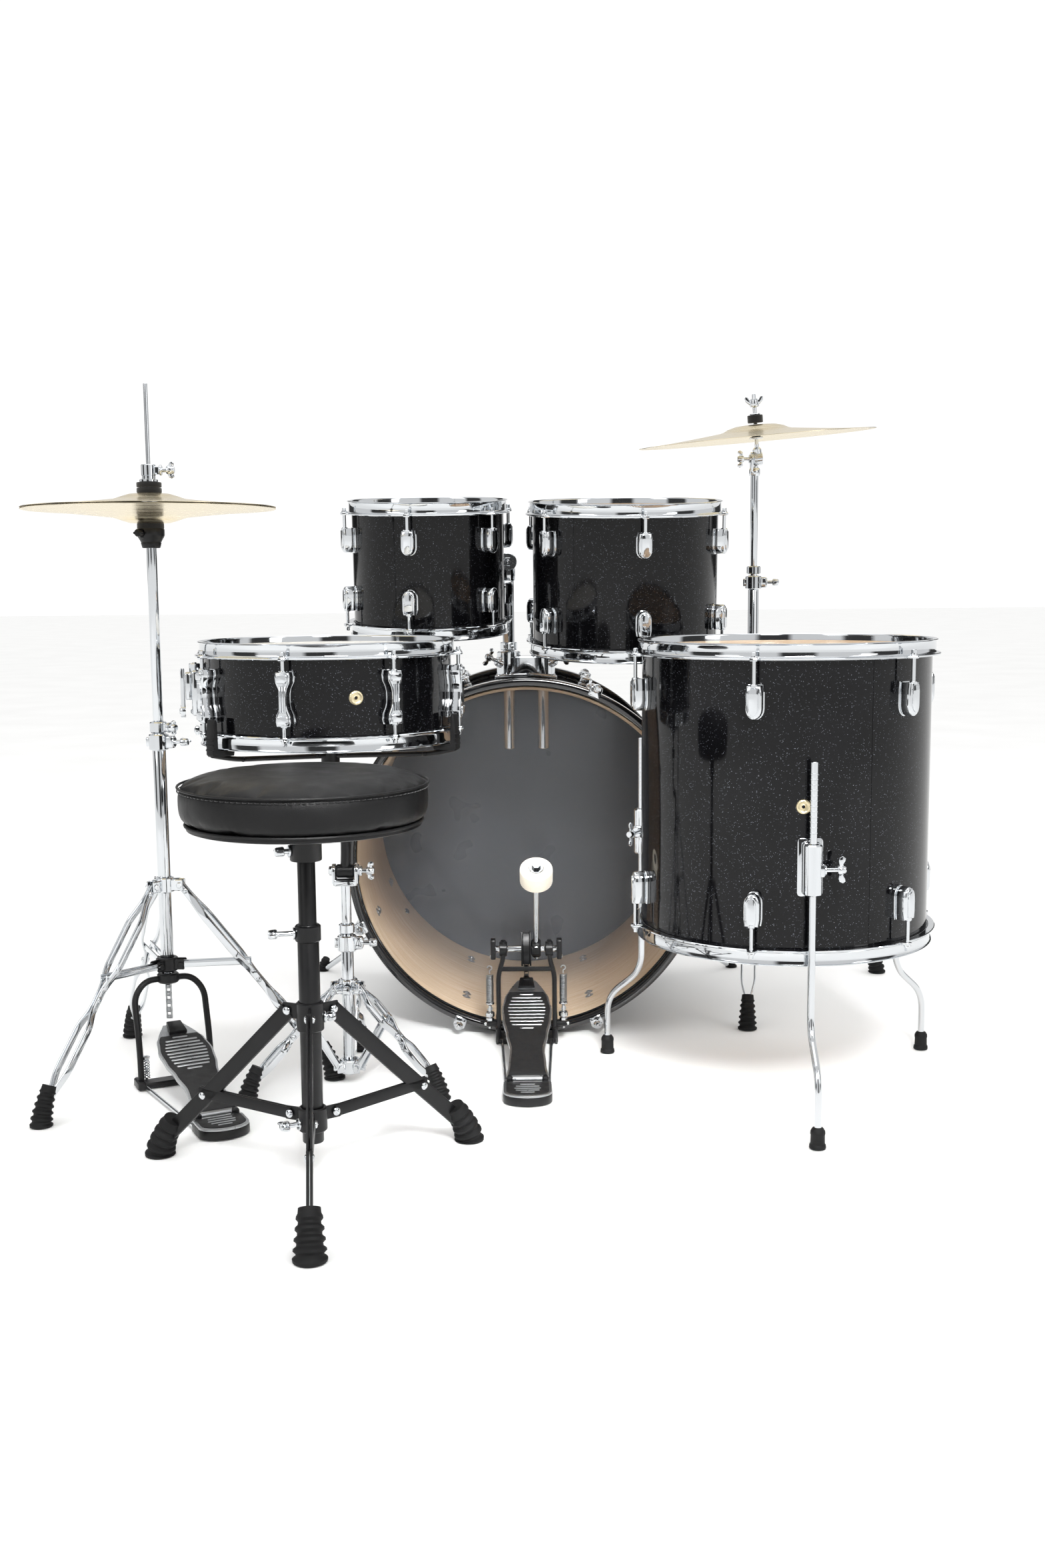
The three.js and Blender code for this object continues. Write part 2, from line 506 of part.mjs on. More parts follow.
/** Footboard placed at its slope, from the hinge to the toe. */
function footboard({ hingeY, toeY, toeZ }) {
  const slope = Math.atan2(toeZ - PEDAL.hingeZ, toeY - hingeY);
  const length = Math.hypot(toeZ - PEDAL.hingeZ, toeY - hingeY);
  const plate = footplate(length, PEDAL.toe).translate([0, 0, -PEDAL.thick / 2]);
  return plate.rotate([THREE.MathUtils.radToDeg(slope), 0, 0]).translate([0, hingeY, PEDAL.hingeZ]);
}

/** Heel plate that the footboard hinges on: a rounded block ending just short of the board. */
function heelPlate({ hingeY, heelY }) {
  const half = PEDAL.width / 2;
  const front = hingeY - 6;
  const shape = new THREE.Shape();
  shape.moveTo(-half, front).lineTo(-half, heelY + 24);
  shape.absellipse(0, heelY + 24, half, 24, Math.PI, 2 * Math.PI, false).lineTo(half, front);
  return solid(new THREE.ExtrudeGeometry(shape, { depth: PEDAL.heelHeight, bevelEnabled: false, curveSegments: 8 }));
}

/** The two floor wires that tie a heel plate to the frame in front of it. */
function floorWires(fromY, toY, half, height) {
  return [-1, 1].map((side) => bar(vec(side * (PEDAL.width / 2 - 4), fromY, height),
    vec(side * half, toY, height), 2.5, 6));
}

// ---------------------------------------------------------------- hi-hat
function hiHat() {
  const group = groupAt(HIHAT.at);
  part('hihat_base', join(tripod(HIHAT, { bottom: HIHAT.hub - 12 }),
    wingBolt(-8, HIHAT.tube + 4, HIHAT.top - 12)), CHROME, group);

  const { rod, rodTop, tubeTop, seat, radius, edge, bell, rise } = HIHAT_TOP;
  const bore = rod + SLIDE_FIT;
  part('hihat_tube', join(
    ring(bore, HIHAT.inner, HIHAT.collar + 90, tubeTop, TUBE_SIDES),
    turned([[bore, tubeTop - 2], [13, tubeTop - 2], [18, tubeTop + 14], [18, seat - 3], [bore, seat - 3]], TUBE_SIDES),
  ), CHROME, group);
  pivot('hihat_height', group, vec(0, 0, tubeTop), vec(0, 0, 1));

  part('hihat_bottom_cymbal', cymbal(radius, bell * 2, rise).mirror([0, 0, 1]).translate([0, 0, edge - CYMBAL.thick - GAP]),
    BRONZE, group);
  part('hihat_top_cymbal', cymbal(radius, bell * 2, rise).translate([0, 0, edge + CYMBAL.thick]), BRONZE, group);

  const crown = edge + CYMBAL.thick + rise;
  const under = crown - CYMBAL.thick - GAP;
  part('hihat_clutch', join(
    turned([[bore, under - 10], [13, under - 10], [13, under - 2], [CYMBAL.hole - 0.6, under - 2],
      [CYMBAL.hole - 0.6, crown + GAP], [17, crown + GAP], [17, crown + 15], [10, crown + 15], [10, crown + 40],
      [bore, crown + 40]], TUBE_SIDES),
    bar(vec(9, 0, crown + 32), vec(38, 0, crown + 32), 3.5, 6),
    block([34, -4, crown + 24], [38, 4, crown + 40]),
  ), CHROME, group);

  const links = 4;
  const toe = HIHAT_PEDAL.toeZ + PEDAL.thick;
  const chainTop = HIHAT.hub - 18;
  const pitch = (chainTop - toe) / links;
  const chain = Array.from({ length: links }, (_, i) => block([-4, -3, toe + GAP + i * pitch],
    [4, 3, toe + (i + 1) * pitch - 4]));
  part('hihat_pull_rod', join(bar(vec(0, 0, toe + GAP + 2), vec(0, 0, rodTop), rod, TUBE_SIDES), chain), CHROME, group);
  pivot('hihat_pull_rod', group, vec(0, 0, toe), vec(0, 0, 1));

  const pedal = groupAt(HIHAT.at, HIHAT_PEDAL.turn);
  const half = HIHAT_PEDAL.bowHalf;
  const bowTop = HIHAT.hub - 22;
  const bowRing = HIHAT.tube + 5 + 2;
  const bowY = -30;
  part('hihat_pedal_frame', join(
    bentBar([vec(-half, bowY, 6), vec(-half, bowY / 2, bowTop - 20), vec(-half + 18, 0, bowTop),
      vec(half - 18, 0, bowTop), vec(half, bowY / 2, bowTop - 20), vec(half, bowY, 6)], 4.5, 6),
    block([-half - 5, bowY - 12, 0], [half + 5, bowY + 12, 9]),
    floorWires(HIHAT_PEDAL.hingeY - 10, bowY, half, 5),
    heelPlate(HIHAT_PEDAL),
  ).subtract(bar(vec(0, 0, bowTop - 20), vec(0, 0, bowTop + 20), bowRing - 4, TUBE_SIDES))
    .add(ring(7, bowRing, bowTop - 5, bowTop + 8, TUBE_SIDES)), BLACK_STEEL, pedal);
  part('hihat_footboard', footboard(HIHAT_PEDAL), GLOSS_BLACK, pedal);
  pivot('hihat_footboard', pedal, vec(0, HIHAT_PEDAL.hingeY, PEDAL.hingeZ), vec(1, 0, 0));
}
hiHat();

// ---------------------------------------------------------------- crash cymbal on its stand
function crashStand() {
  const group = groupAt(CRASH.at);
  part('crash_base', join(tripod(CRASH, { bottom: CRASH.hub - 20 }), wingBolt(-8, CRASH.tube + 4, CRASH.top - 12)),
    CHROME, group);
  const { pivot: pivotZ, post, radius, bell, rise, edgeLift, roll, lean } = CRASH_TOP;
  const neck = pivotZ - 13;
  const rodX = 5; // the tilter's rod stands beside the ear that carries it
  part('crash_tube', join(
    bar(vec(0, 0, CRASH.collar + 120), vec(0, 0, neck), CRASH.inner, 14),
    block([-7, -12, neck - 12], [-3 - GAP, 12, pivotZ + 9]),
    block([-7, -9, neck - 12], [7, 9, neck - 2]),
    bar(vec(-7, 0, pivotZ), vec(-28, 0, pivotZ), 4, 8),
  ), CHROME, group);
  pivot('crash_height', group, vec(0, 0, pivotZ), vec(0, 0, 1));
  pivot('crash_tilt', group, vec(0, 0, pivotZ), vec(1, 0, 0));

  const head = new THREE.Group();
  head.position.set(0, 0, pivotZ);
  head.rotation.set(rad(lean), rad(roll), 0);
  group.add(head);
  const crown = edgeLift + rise;
  part('crash_tilter', join(
    bar(vec(-2.5, 0, 0), vec(13, 0, 0), 11, 12),
    bar(vec(rodX, 0, 0), vec(rodX, 0, crown - 14), 7, 10),
    bar(vec(rodX, 0, 0), vec(rodX, 0, post), 3.2, 8),
    bar(vec(rodX, 0, crown - 18), vec(rodX, 0, crown - CYMBAL.thick - 3), 13, 12),
    bar(vec(rodX, 0, crown + 3), vec(rodX, 0, crown + 16), 13, 12),
    bar(vec(rodX, 0, post - 22), vec(rodX, 0, post - 8), 7, 8),
    block([rodX - 16, -2, post - 16], [rodX + 16, 2, post - 6]),
  ), CHROME, head);
  part('crash_cymbal', cymbal(radius, bell * 2, rise).translate([rodX, 0, edgeLift]), BRONZE, head);
  pivot('crash_spin', head, vec(rodX, 0, edgeLift), vec(0, 0, 1));
}
crashStand();

// ---------------------------------------------------------------- throne
function throne() {
  const group = groupAt(THRONE.at);
  const { tube, inner, collar, hub, top, angles, ear, footRing, brace, footHeight, footRadius } = THRONE;
  const sleeve = inner + SLIDE_FIT;
  const ears = angles.flatMap((angle) => [[collar, 9], [hub, 8]].map(([z, half]) =>
    outstanding(angle, tube - 0.5, ear + 7, 4, z - half, z + half)));
  part('throne_tube', join(
    ring(sleeve, tube, hub - 32, top, TUBE_SIDES),
    ring(tube - 0.5, tube + 3, collar - 22, collar + 14, TUBE_SIDES),
    ring(tube - 0.5, tube + 4, hub - 18, hub + 12, TUBE_SIDES),
    ring(tube - 0.5, tube + 2, top - 20, top - 1, TUBE_SIDES),
    wingBolt(190, tube + 1, top - 10, 34),
    wingBolt(205, tube + 3, hub - 8, 22),
    ears,
  ), BLACK_STEEL, group);
  angles.forEach((angle, i) => {
    const side = 2 + GAP + 2;
    const ankle = [footRing - 16, footHeight * 0.6];
    part(`throne_leg_${i + 1}`, aboveFloor(join(
      [-side, side].map((shift) => strap(angle, [ear, collar], ankle, 3.4, 22, shift)),
      [-side, side].map((shift) => strap(angle, [ear, hub], brace, 3.4, 16, shift)),
      bar(polar(angle, footRing, 0), polar(angle, footRing - 18, footHeight), footRadius, 10, footRadius * 0.72),
    )), BLACK_STEEL, group);
  });
  part('throne_post', bar(vec(0, 0, hub + 90), vec(0, 0, SEAT.postTop), inner, TUBE_SIDES), BLACK_STEEL, group);
  const { radius, low, high, crown, sleeve: skirt } = SEAT;
  part('throne_seat', turned([[0, SEAT.postTop + GAP], [sleeve, SEAT.postTop + GAP], [sleeve, low - skirt],
    [sleeve + 8, low - skirt], [sleeve + 8, low - 10], [64, low - 4], [64, low], [radius - 8, low],
    [radius, low + 10], [radius, high - 14], [radius - 6, high - 3], [radius - 18, high],
    [radius * 0.5, high + crown * 0.8], [0, high + crown]], 24), VINYL, group);
  pivot('throne_height', group, vec(0, 0, top), vec(0, 0, 1));
  pivot('throne_seat_spin', group, vec(0, 0, low), vec(0, 0, 1));
}
throne();

// ---------------------------------------------------------------- bass drum pedal
function kickPedal() {
  const group = groupAt([KICK.x, 0]);
  const { hingeY, toeY, toeZ, postGap, shaftY, shaftZ, lean, reach, feltRadius, feltLength, camRadius } = KICK;
  const hoopClear = 2; // the frame stops short of the hoop that its clamp grips
  const posts = [-1, 1].flatMap((side) => [
    block([side * postGap - 4, shaftY - 9, 0], [side * postGap + 4, shaftY + 9, shaftZ - 30]),
    block([side * postGap - 4, shaftY - 9, shaftZ - 32], [side * postGap + 4, shaftY + 9, shaftZ + 13]),
    bar(vec(side * (postGap + 15), shaftY, 34), vec(side * (postGap + 15), shaftY, shaftZ - 22), 6, 10),
    block([side * postGap, shaftY - 6, 26], [side * (postGap + 21), shaftY + 6, 36]),
  ]);
  const bores = bar(vec(-postGap - 10, shaftY, shaftZ), vec(postGap + 10, shaftY, shaftZ), 5 + SLIDE_FIT + 0.2, 12);
  part('kick_frame', join(
    posts.map((post) => post.subtract(bores)),
    block([-postGap - 4, shaftY - 14, 0], [postGap + 4, -hoopClear, 8]),
    block([-postGap - 4, shaftY - 9, shaftZ - 36], [postGap + 4, shaftY - 3, shaftZ - 28]),
    floorWires(hingeY - 10, shaftY, postGap - 2, 5),
    heelPlate(KICK),
  ), BLACK_STEEL, group);
  part('kick_footboard', footboard(KICK), GLOSS_BLACK, group);
  pivot('kick_footboard', group, vec(0, hingeY, PEDAL.hingeZ), vec(1, 0, 0));

  const chainY = shaftY + camRadius;
  const chainTop = shaftZ - 2;
  part('kick_chain', block([-5, chainY + 1, toeZ + PEDAL.thick], [5, chainY + 6, chainTop]).add(
    block([-5, toeY - 14, toeZ + PEDAL.thick / 2 + 1], [5, chainY + 6, toeZ + PEDAL.thick + 4])), BLACK_STEEL, group);

  const beater = polar(90 + lean, reach);
  const head = vec(16, shaftY + beater.x, shaftZ + beater.y);
  const axis = vec(0, beater.x, beater.y).normalize();
  const shaftFoot = vec(16, shaftY - axis.y * 14, shaftZ - axis.z * 14);
  part('kick_beater', join(
    bar(vec(-postGap - 13, shaftY, shaftZ), vec(postGap + 13, shaftY, shaftZ), 5, 12),
    [-1, 1].map((side) => block([side * (postGap + 9) - 3, shaftY - 7, shaftZ - 16],
      [side * (postGap + 9) + 3, shaftY + 7, shaftZ + 16])),
    bar(vec(-8, shaftY, shaftZ), vec(8, shaftY, shaftZ), camRadius - 1, 14),
    bar(vec(8, shaftY, shaftZ), vec(22, shaftY, shaftZ), 11, 12),
    bar(shaftFoot, head.clone().addScaledVector(axis, feltLength / 2 + 4), 4, 8),
    bar(head.clone().addScaledVector(axis, -feltLength / 2), head.clone().addScaledVector(axis, feltLength / 2),
      feltRadius, 14),
  ), CHROME, group);
  pivot('kick_beater', group, vec(0, shaftY, shaftZ), vec(1, 0, 0));
}
kickPedal();

// ---------------------------------------------------------------- origin under the middle of the kit
kit.updateMatrixWorld(true);
const bounds = new THREE.Box3().setFromObject(kit, true);
const middle = bounds.getCenter(vec(0, 0, 0));
kit.position.set(-middle.x, -middle.y, -bounds.min.z);
kit.updateMatrixWorld(true);

/** Each joint's pivot and axis in the finished kit's frame. */
kit.userData.pivots = Object.fromEntries(Object.entries(pivots).map(([name, { group, at, axis }]) => [name, {
  at: at.clone().applyMatrix4(group.matrixWorld).toArray(),
  axis: axis.clone().transformDirection(group.matrixWorld).toArray(),
}]));

export default kit;
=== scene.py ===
"""Five-piece drum kit with cymbals, pedals and throne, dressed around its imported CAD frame."""
import math

import bmesh  # noqa: E402
import bpy  # noqa: E402
from mathutils import Matrix, Vector  # noqa: E402


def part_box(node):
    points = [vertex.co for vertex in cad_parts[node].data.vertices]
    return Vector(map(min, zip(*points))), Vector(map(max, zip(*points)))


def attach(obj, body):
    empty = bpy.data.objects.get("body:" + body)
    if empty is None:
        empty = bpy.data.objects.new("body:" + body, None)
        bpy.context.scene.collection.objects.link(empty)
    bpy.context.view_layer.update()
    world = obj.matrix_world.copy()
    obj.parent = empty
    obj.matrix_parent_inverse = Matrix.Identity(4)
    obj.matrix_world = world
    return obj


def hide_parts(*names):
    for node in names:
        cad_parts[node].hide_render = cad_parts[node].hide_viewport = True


bl_info = {
    "name": "Drum kit",
    "version": (1, 0, 0),
    "blender": (4, 5, 0),
    "location": "3D View > Sidebar > Drum kit",
    "description": "Builds a drum kit piece by piece: drums, hoops, heads, stands, pedals and throne",
    "category": "Object",
}

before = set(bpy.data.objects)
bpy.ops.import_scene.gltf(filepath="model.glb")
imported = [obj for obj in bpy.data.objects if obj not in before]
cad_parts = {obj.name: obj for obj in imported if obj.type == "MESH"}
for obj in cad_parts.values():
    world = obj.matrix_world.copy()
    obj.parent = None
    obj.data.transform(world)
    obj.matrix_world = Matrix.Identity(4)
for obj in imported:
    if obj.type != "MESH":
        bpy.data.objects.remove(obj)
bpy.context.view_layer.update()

# ------------------------------------------------------------------ sizes, all in millimetres
MM = 0.001
SHELL_WALL, WRAP_SKIN = 6.0, 0.8
HOOP_INNER = 2.2  # from the shell's outside to the hoop's inside
HOOP_STAND, HOOP_SKIRT = 10.0, 12.0
ROD_OUT = 16.0  # tension rods stand this far outside the shell
BASS = {"radius": 276.6, "near": 21.0, "far": 427.0, "length": 448.0, "wall": 7.0, "hoop": 38.0}
BASS_HOOP_IN, BASS_HOOP_OUT = 277.8, 289.0
BASS_LUGS, BASS_FIRST = 8, 22.5
BASS_LUG_INSET, BASS_ROD_OUT = 78.0, 22.0
MOUNT_X, MOUNT_Y, MOUNT_TOP = (-28.0, 32.0), 285.0, 609.6
TOM_TILT, TOM_BRACKET_PROUD, TOM_GRIP = 5.0, 14.0, 10.0
SNARE_STAND_AT, HIHAT_AT = (-264.0, -234.0), (-533.8, -205.5)
CRASH_AT, THRONE_AT = (402.0, 290.0), (-266.5, -615.5)
HIHAT_TURN = 26.8

PAIR = (-1, 1)


def kit_origin():
    hoop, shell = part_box("bass_batter_hoop"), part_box("bass_shell")
    return Vector(((hoop[0].x + hoop[1].x) / 2, shell[0].y - BASS["near"] * MM, 0))


KIT = Matrix.Translation(kit_origin()) @ Matrix.Scale(MM, 4)


def head_frame(drum):
    """Middle of a drum with Z on its axis, from the boxes of its two heads."""
    mids = [sum(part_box(f"{drum}_{end}_head"), Vector()) / 2 for end in ("bottom", "top")]
    up = (mids[1] - mids[0]).normalized()
    side = Vector((1, 0, 0))
    side = (side - up * side.dot(up)).normalized()
    upright = Matrix((side, up.cross(side), up)).transposed().to_4x4()
    middle = KIT.inverted() @ ((mids[0] + mids[1]) / 2)
    return Matrix.Translation(middle) @ upright


DRUMS = {
    "tom_left": {"radius": 127.0, "depth": 203.0, "lugs": 6, "first": -160.0, "inset": 54.0,
                 "lug": (24, 40, 22), "rows": 2, "seam": 20.0},
    "tom_right": {"radius": 152.4, "depth": 229.0, "lugs": 6, "first": -143.0, "inset": 54.0,
                  "lug": (24, 40, 22), "rows": 2, "seam": -140.0},
    "floor_tom": {"radius": 203.2, "depth": 406.0, "lugs": 6, "first": -170.0, "inset": 66.0,
                  "lug": (24, 45, 22), "rows": 2, "seam": -64.0},
    "snare": {"radius": 177.8, "depth": 127.0, "lugs": 8, "first": -101.0, "inset": 63.5,
              "lug": (24, 73, 24), "rows": 1, "seam": 150.0},
}
for drum_name, drum_facts in DRUMS.items():
    drum_facts["at"] = head_frame(drum_name)
    drum_facts["body"] = {"floor_tom": "kit_floor", "snare": "snare_drum"}.get(drum_name, drum_name)
# the bass drum lies on its side: its local Z runs away from the player
BASS_AT = Matrix(((1, 0, 0, 0), (0, 0, 1, 0), (0, -1, 0, BASS_HOOP_OUT), (0, 0, 0, 1)))


def at(x=0.0, y=0.0, z=0.0, turn=0.0):
    """A frame standing on the floor plan, turned about Z by so many degrees."""
    return Matrix.Translation((x, y, z)) @ Matrix.Rotation(math.radians(turn), 4, "Z")


def spin(degrees, axis):
    return Matrix.Rotation(math.radians(degrees), 4, axis)


def facing(angle, radius, z=0.0):
    """A frame on a round wall: X along the wall, Y up the axis, Z straight out."""
    look = Matrix(((0, 0, 1, 0), (1, 0, 0, 0), (0, 1, 0, 0), (0, 0, 0, 1)))
    return spin(angle, "Z") @ at(radius, 0, z) @ look


def along(start, end):
    """A frame at start with Z towards end."""
    start, end = Vector(start), Vector(end)
    return Matrix.Translation(start) @ (end - start).to_track_quat("Z", "Y").to_matrix().to_4x4()


def polar(angle, radius, z=0.0):
    return Vector((radius * math.cos(math.radians(angle)), radius * math.sin(math.radians(angle)), z))


# ------------------------------------------------------------------ closed shapes
class Form:
    """Closed shapes gathered in millimetres, to become one piece."""

    def __init__(self):
        self.verts, self.faces, self.uvs = [], [], []

    def add(self, verts, faces, place=None, uvs=None):
        """Adds one closed shape; its faces are turned outwards whatever their order."""
        place = place or Matrix()
        verts = [place @ Vector(v) for v in verts]
        volume = 0.0
        for face in faces:
            a = verts[face[0]]
            for b, c in zip(face[1:], face[2:]):
                volume += a.dot(verts[b].cross(verts[c]))
        base = len(self.verts)
        self.verts += verts
        uvs = uvs or [[(0.0, 0.0)] * len(face) for face in faces]
        for face, corner in zip(faces, uvs):
            if volume < 0:
                face, corner = tuple(reversed(face)), list(reversed(corner))
            self.faces.append([base + i for i in face])
            self.uvs.append(corner)
        return self

    def mesh(self, coat=None):
        """The shapes as a plain mesh, in one finish."""
        mesh = bpy.data.meshes.new("form")
        mesh.from_pydata([tuple(v) for v in self.verts], [], self.faces)
        layer = mesh.uv_layers.new(name="surface")
        layer.data.foreach_set("uv", [x for corner in self.uvs for uv in corner for x in uv])
        if coat:
            mesh.materials.append(FINISH[coat])
        return mesh


def turned(form, profile, steps=64, place=None, loop=False):
    """Turns a profile of (radius, height) about Z; UV runs along the profile in mm and round it."""
    rings, verts, run = [], [], [0.0]
    for (r0, z0), (r1, z1) in zip(profile, profile[1:] + profile[:1]):
        run.append(run[-1] + math.hypot(r1 - r0, z1 - z0))
    for r, z in profile:
        if r < 1e-6:
            rings.append([len(verts)] * (steps + 1))
            verts.append((0, 0, z))
        else:
            ring = [len(verts) + i for i in range(steps)]
            rings.append(ring + ring[:1])
            verts += [(r * math.cos(math.tau * i / steps), r * math.sin(math.tau * i / steps), z)
                      for i in range(steps)]
    faces, uvs = [], []
    for k in range(len(profile) - (0 if loop else 1)):
        low, high = rings[k], rings[(k + 1) % len(profile)]
        for i in range(steps):
            corners = [(low[i], (run[k], i / steps)), (low[i + 1], (run[k], (i + 1) / steps)),
                       (high[i + 1], (run[k + 1], (i + 1) / steps)), (high[i], (run[k + 1], i / steps))]
            if low[i] == low[i + 1]:
                corners.pop(1)
            if high[i] == high[i + 1]:
                corners.pop()
            if len(corners) > 2:
                faces.append(tuple(c[0] for c in corners))
                uvs.append([c[1] for c in corners])
    return form.add(verts, faces, place, uvs)


def rod(form, start, end, radius, steps=16, soft=None):
    """Round bar between two points, its ends chamfered."""
    length = (Vector(end) - Vector(start)).length
    soft = radius * 0.18 if soft is None else soft
    profile = [(0, 0), (radius - soft, 0), (radius, soft), (radius, length - soft), (radius - soft, length),
               (0, length)]
    return turned(form, profile, steps, along(start, end))


def ring(form, inner, outer, low, high, steps=64, place=None, soft=0.6):
    """Round band with softened edges."""
    profile = [(inner, low + soft), (inner + soft, low), (outer - soft, low), (outer, low + soft),
               (outer, high - soft), (outer - soft, high), (inner + soft, high), (inner, high - soft)]
    return turned(form, profile, steps, place, loop=True)


def rounded(width, height, corner, parts=4):
    """Outline of a rectangle with round corners, about the origin."""
    points = []
    for k, (sx, sy) in enumerate(((1, 1), (-1, 1), (-1, -1), (1, -1))):
        for i in range(parts + 1):
            a = math.pi / 2 * (k + i / parts)
            points.append((sx * (width / 2 - corner) + corner * math.cos(a),
                           sy * (height / 2 - corner) + corner * math.sin(a)))
    return points


def inset(outline, amount):
    """The outline moved inwards by an amount, corner by corner."""
    result, count = [], len(outline)
    area = sum(a[0] * b[1] - b[0] * a[1] for a, b in zip(outline, outline[1:] + outline[:1]))
    sign = 1 if area > 0 else -1
    for i, point in enumerate(outline):
        before, after = Vector(outline[i - 1]), Vector(outline[(i + 1) % count])
        here = Vector(point)
        one, two = (here - before), (after - here)
        if one.length < 1e-9 or two.length < 1e-9:
            result.append(tuple(point))
            continue
        one, two = one.normalized(), two.normalized()
        normal = Vector((-(one.y + two.y), one.x + two.x)) * sign
        if normal.length < 1e-6:
            result.append(tuple(point))
            continue
        normal.normalize()
        flat = max(0.5, abs(normal.dot(Vector((-one.y, one.x)))))
        result.append(tuple(here + normal * (amount / flat)))
    return result


def plate(form, outline, low, high, bevel=1.0, place=None, parts=2):
    """Flat shape cut to an outline, with its edges rounded by a bevel."""
    levels = [(0, low), (0, high)]
    if bevel:
        turns = [math.pi / 2 * i / parts for i in range(parts + 1)]
        levels = [(bevel * (1 - math.sin(a)), low + bevel * (1 - math.cos(a))) for a in turns]
        levels += [(bevel * (1 - math.cos(a)), high - bevel * (1 - math.sin(a))) for a in turns]
    verts, count = [], len(outline)
    for amount, z in levels:
        verts += [(x, y, z) for x, y in (inset(outline, amount) if amount > 1e-9 else outline)]
    faces = [tuple(range(count))[::-1], tuple(range(len(verts) - count, len(verts)))]
    for k in range(len(levels) - 1):
        for i in range(count):
            j = (i + 1) % count
            faces.append((k * count + i, k * count + j, (k + 1) * count + j, (k + 1) * count + i))
    return form.add(verts, faces, place)


def block(form, low, high, bevel=0.8, place=None):
    """Machined block between two corners."""
    low, high = Vector(map(min, low, high)), Vector(map(max, low, high))
    size, middle = high - low, (low + high) / 2
    bevel = min(bevel, min(size) * 0.45)
    spot = (place or Matrix()) @ at(middle.x, middle.y, 0)
    corner = min(bevel * 1.2, min(size.x, size.y) * 0.45)
    return plate(form, rounded(size.x, size.y, corner, 2), low.z, high.z, bevel, spot, 1)


def smooth_path(points, parts=8):
    """Points on a smooth curve through the given ones."""
    points = [Vector(p) for p in points]
    last, result = len(points) - 1, []
    for k in range(last):
        near = [points[min(max(k + d, 0), last)] for d in (-1, 0, 1, 2)]
        for i in range(parts):
            t = i / parts
            result.append(0.5 * (2 * near[1] + (near[2] - near[0]) * t
                                 + (2 * near[0] - 5 * near[1] + 4 * near[2] - near[3]) * t * t
                                 + (3 * near[1] - near[0] - 3 * near[2] + near[3]) * t ** 3))
    return result + [points[-1]]


def bent(points, bend, parts=6):
    """A path with its corners rounded to a bend radius."""
    points = [Vector(p) for p in points]
    result = [points[0]]
    for before, here, after in zip(points, points[1:], points[2:]):
        one, two = (before - here), (after - here)
        reach = min(bend, one.length * 0.48, two.length * 0.48)
        start, end = here + one.normalized() * reach, here + two.normalized() * reach
        result += [start.lerp(here, t).lerp(here.lerp(end, t), t) for t in
                   (i / parts for i in range(parts + 1))]
    return result + [points[-1]]


def sweep(form, path, section, across=None, place=None, closed=False, scale=None):
    """Carries a closed section along a path. Across fixes the section's X; left out, it never twists."""
    path = [Vector(p) for p in path]
    count, sides = len(path), len(section)
    verts, last = [], across
    run, runs = 0.0, []
    for i, point in enumerate(path):
        before = path[i - 1] if (i or closed) else point
        after = path[(i + 1) % count] if (i < count - 1 or closed) else point
        way = (after - before).normalized()
        if last is None:
            last = way.orthogonal()
        side = Vector(across) if across is not None else last
        side = (side - way * side.dot(way)).normalized()
        last = side
        other = way.cross(side)
        size = scale[i] if scale else 1.0
        verts += [point + (side * x + other * y) * size for x, y in section]
        run += (point - path[i - 1]).length if i else 0.0
        runs.append(run)
    faces, uvs = [], []
    for k in range(count if closed else count - 1):
        nxt = (k + 1) % count
        for i in range(sides):
            j = (i + 1) % sides
            faces.append((k * sides + i, k * sides + j, nxt * sides + j, nxt * sides + i))
            u0, u1 = runs[k], runs[nxt] if nxt else run
            uvs.append([(u0, i / sides), (u0, (i + 1) / sides), (u1, (i + 1) / sides), (u1, i / sides)])
    if not closed:
        for cap in (tuple(range(sides))[::-1], tuple(range((count - 1) * sides, count * sides))):
            faces.append(cap)
            uvs.append([(0.0, 0.0)] * sides)
    return form.add(verts, faces, place, uvs)


def circle(radius, sides=12):
    return [(radius * math.cos(math.tau * i / sides), radius * math.sin(math.tau * i / sides))
            for i in range(sides)]


def tube(form, path, radius, sides=12, place=None, closed=False, scale=None):
    return sweep(form, path, circle(radius, sides), None, place, closed, scale)


def flat_bar(form, path, width, thick, across, place=None):
    """Flat steel strip along a path; its width lies along the given direction."""
    return sweep(form, path, rounded(width, thick, thick * 0.42, 2), across, place)


# ------------------------------------------------------------------ nodes
def node(tree, kind, inputs=None, **settings):
    """Adds a node with its settings; an input that is a socket is linked, anything else is set."""
    made = tree.nodes.new(kind)
    for name, value in settings.items():
        setattr(made, name, value)
    for key, value in (inputs or {}).items():
        if isinstance(value, bpy.types.NodeSocket):
            tree.links.new(value, made.inputs[key])
        else:
            made.inputs[key].default_value = value
    return made


def new_tree(name, sockets):
    """Geometry tree with named inputs, and its input and output nodes."""
    tree = bpy.data.node_groups.new(name, "GeometryNodeTree")
    tree.interface.new_socket("Geometry", in_out="INPUT", socket_type="NodeSocketGeometry")
    for label, kind in sockets:
        tree.interface.new_socket(label, in_out="INPUT", socket_type=kind)
    tree.interface.new_socket("Geometry", in_out="OUTPUT", socket_type="NodeSocketGeometry")
    return tree, node(tree, "NodeGroupInput").outputs


def close_tree(tree, geometry, material):
    """Ends a tree in plain geometry with its finish set."""
    real = node(tree, "GeometryNodeRealizeInstances", {0: geometry})
    coated = node(tree, "GeometryNodeSetMaterial", {"Geometry": real.outputs[0], "Material": material})
    node(tree, "NodeGroupOutput", {0: coated.outputs[0]})
    return tree


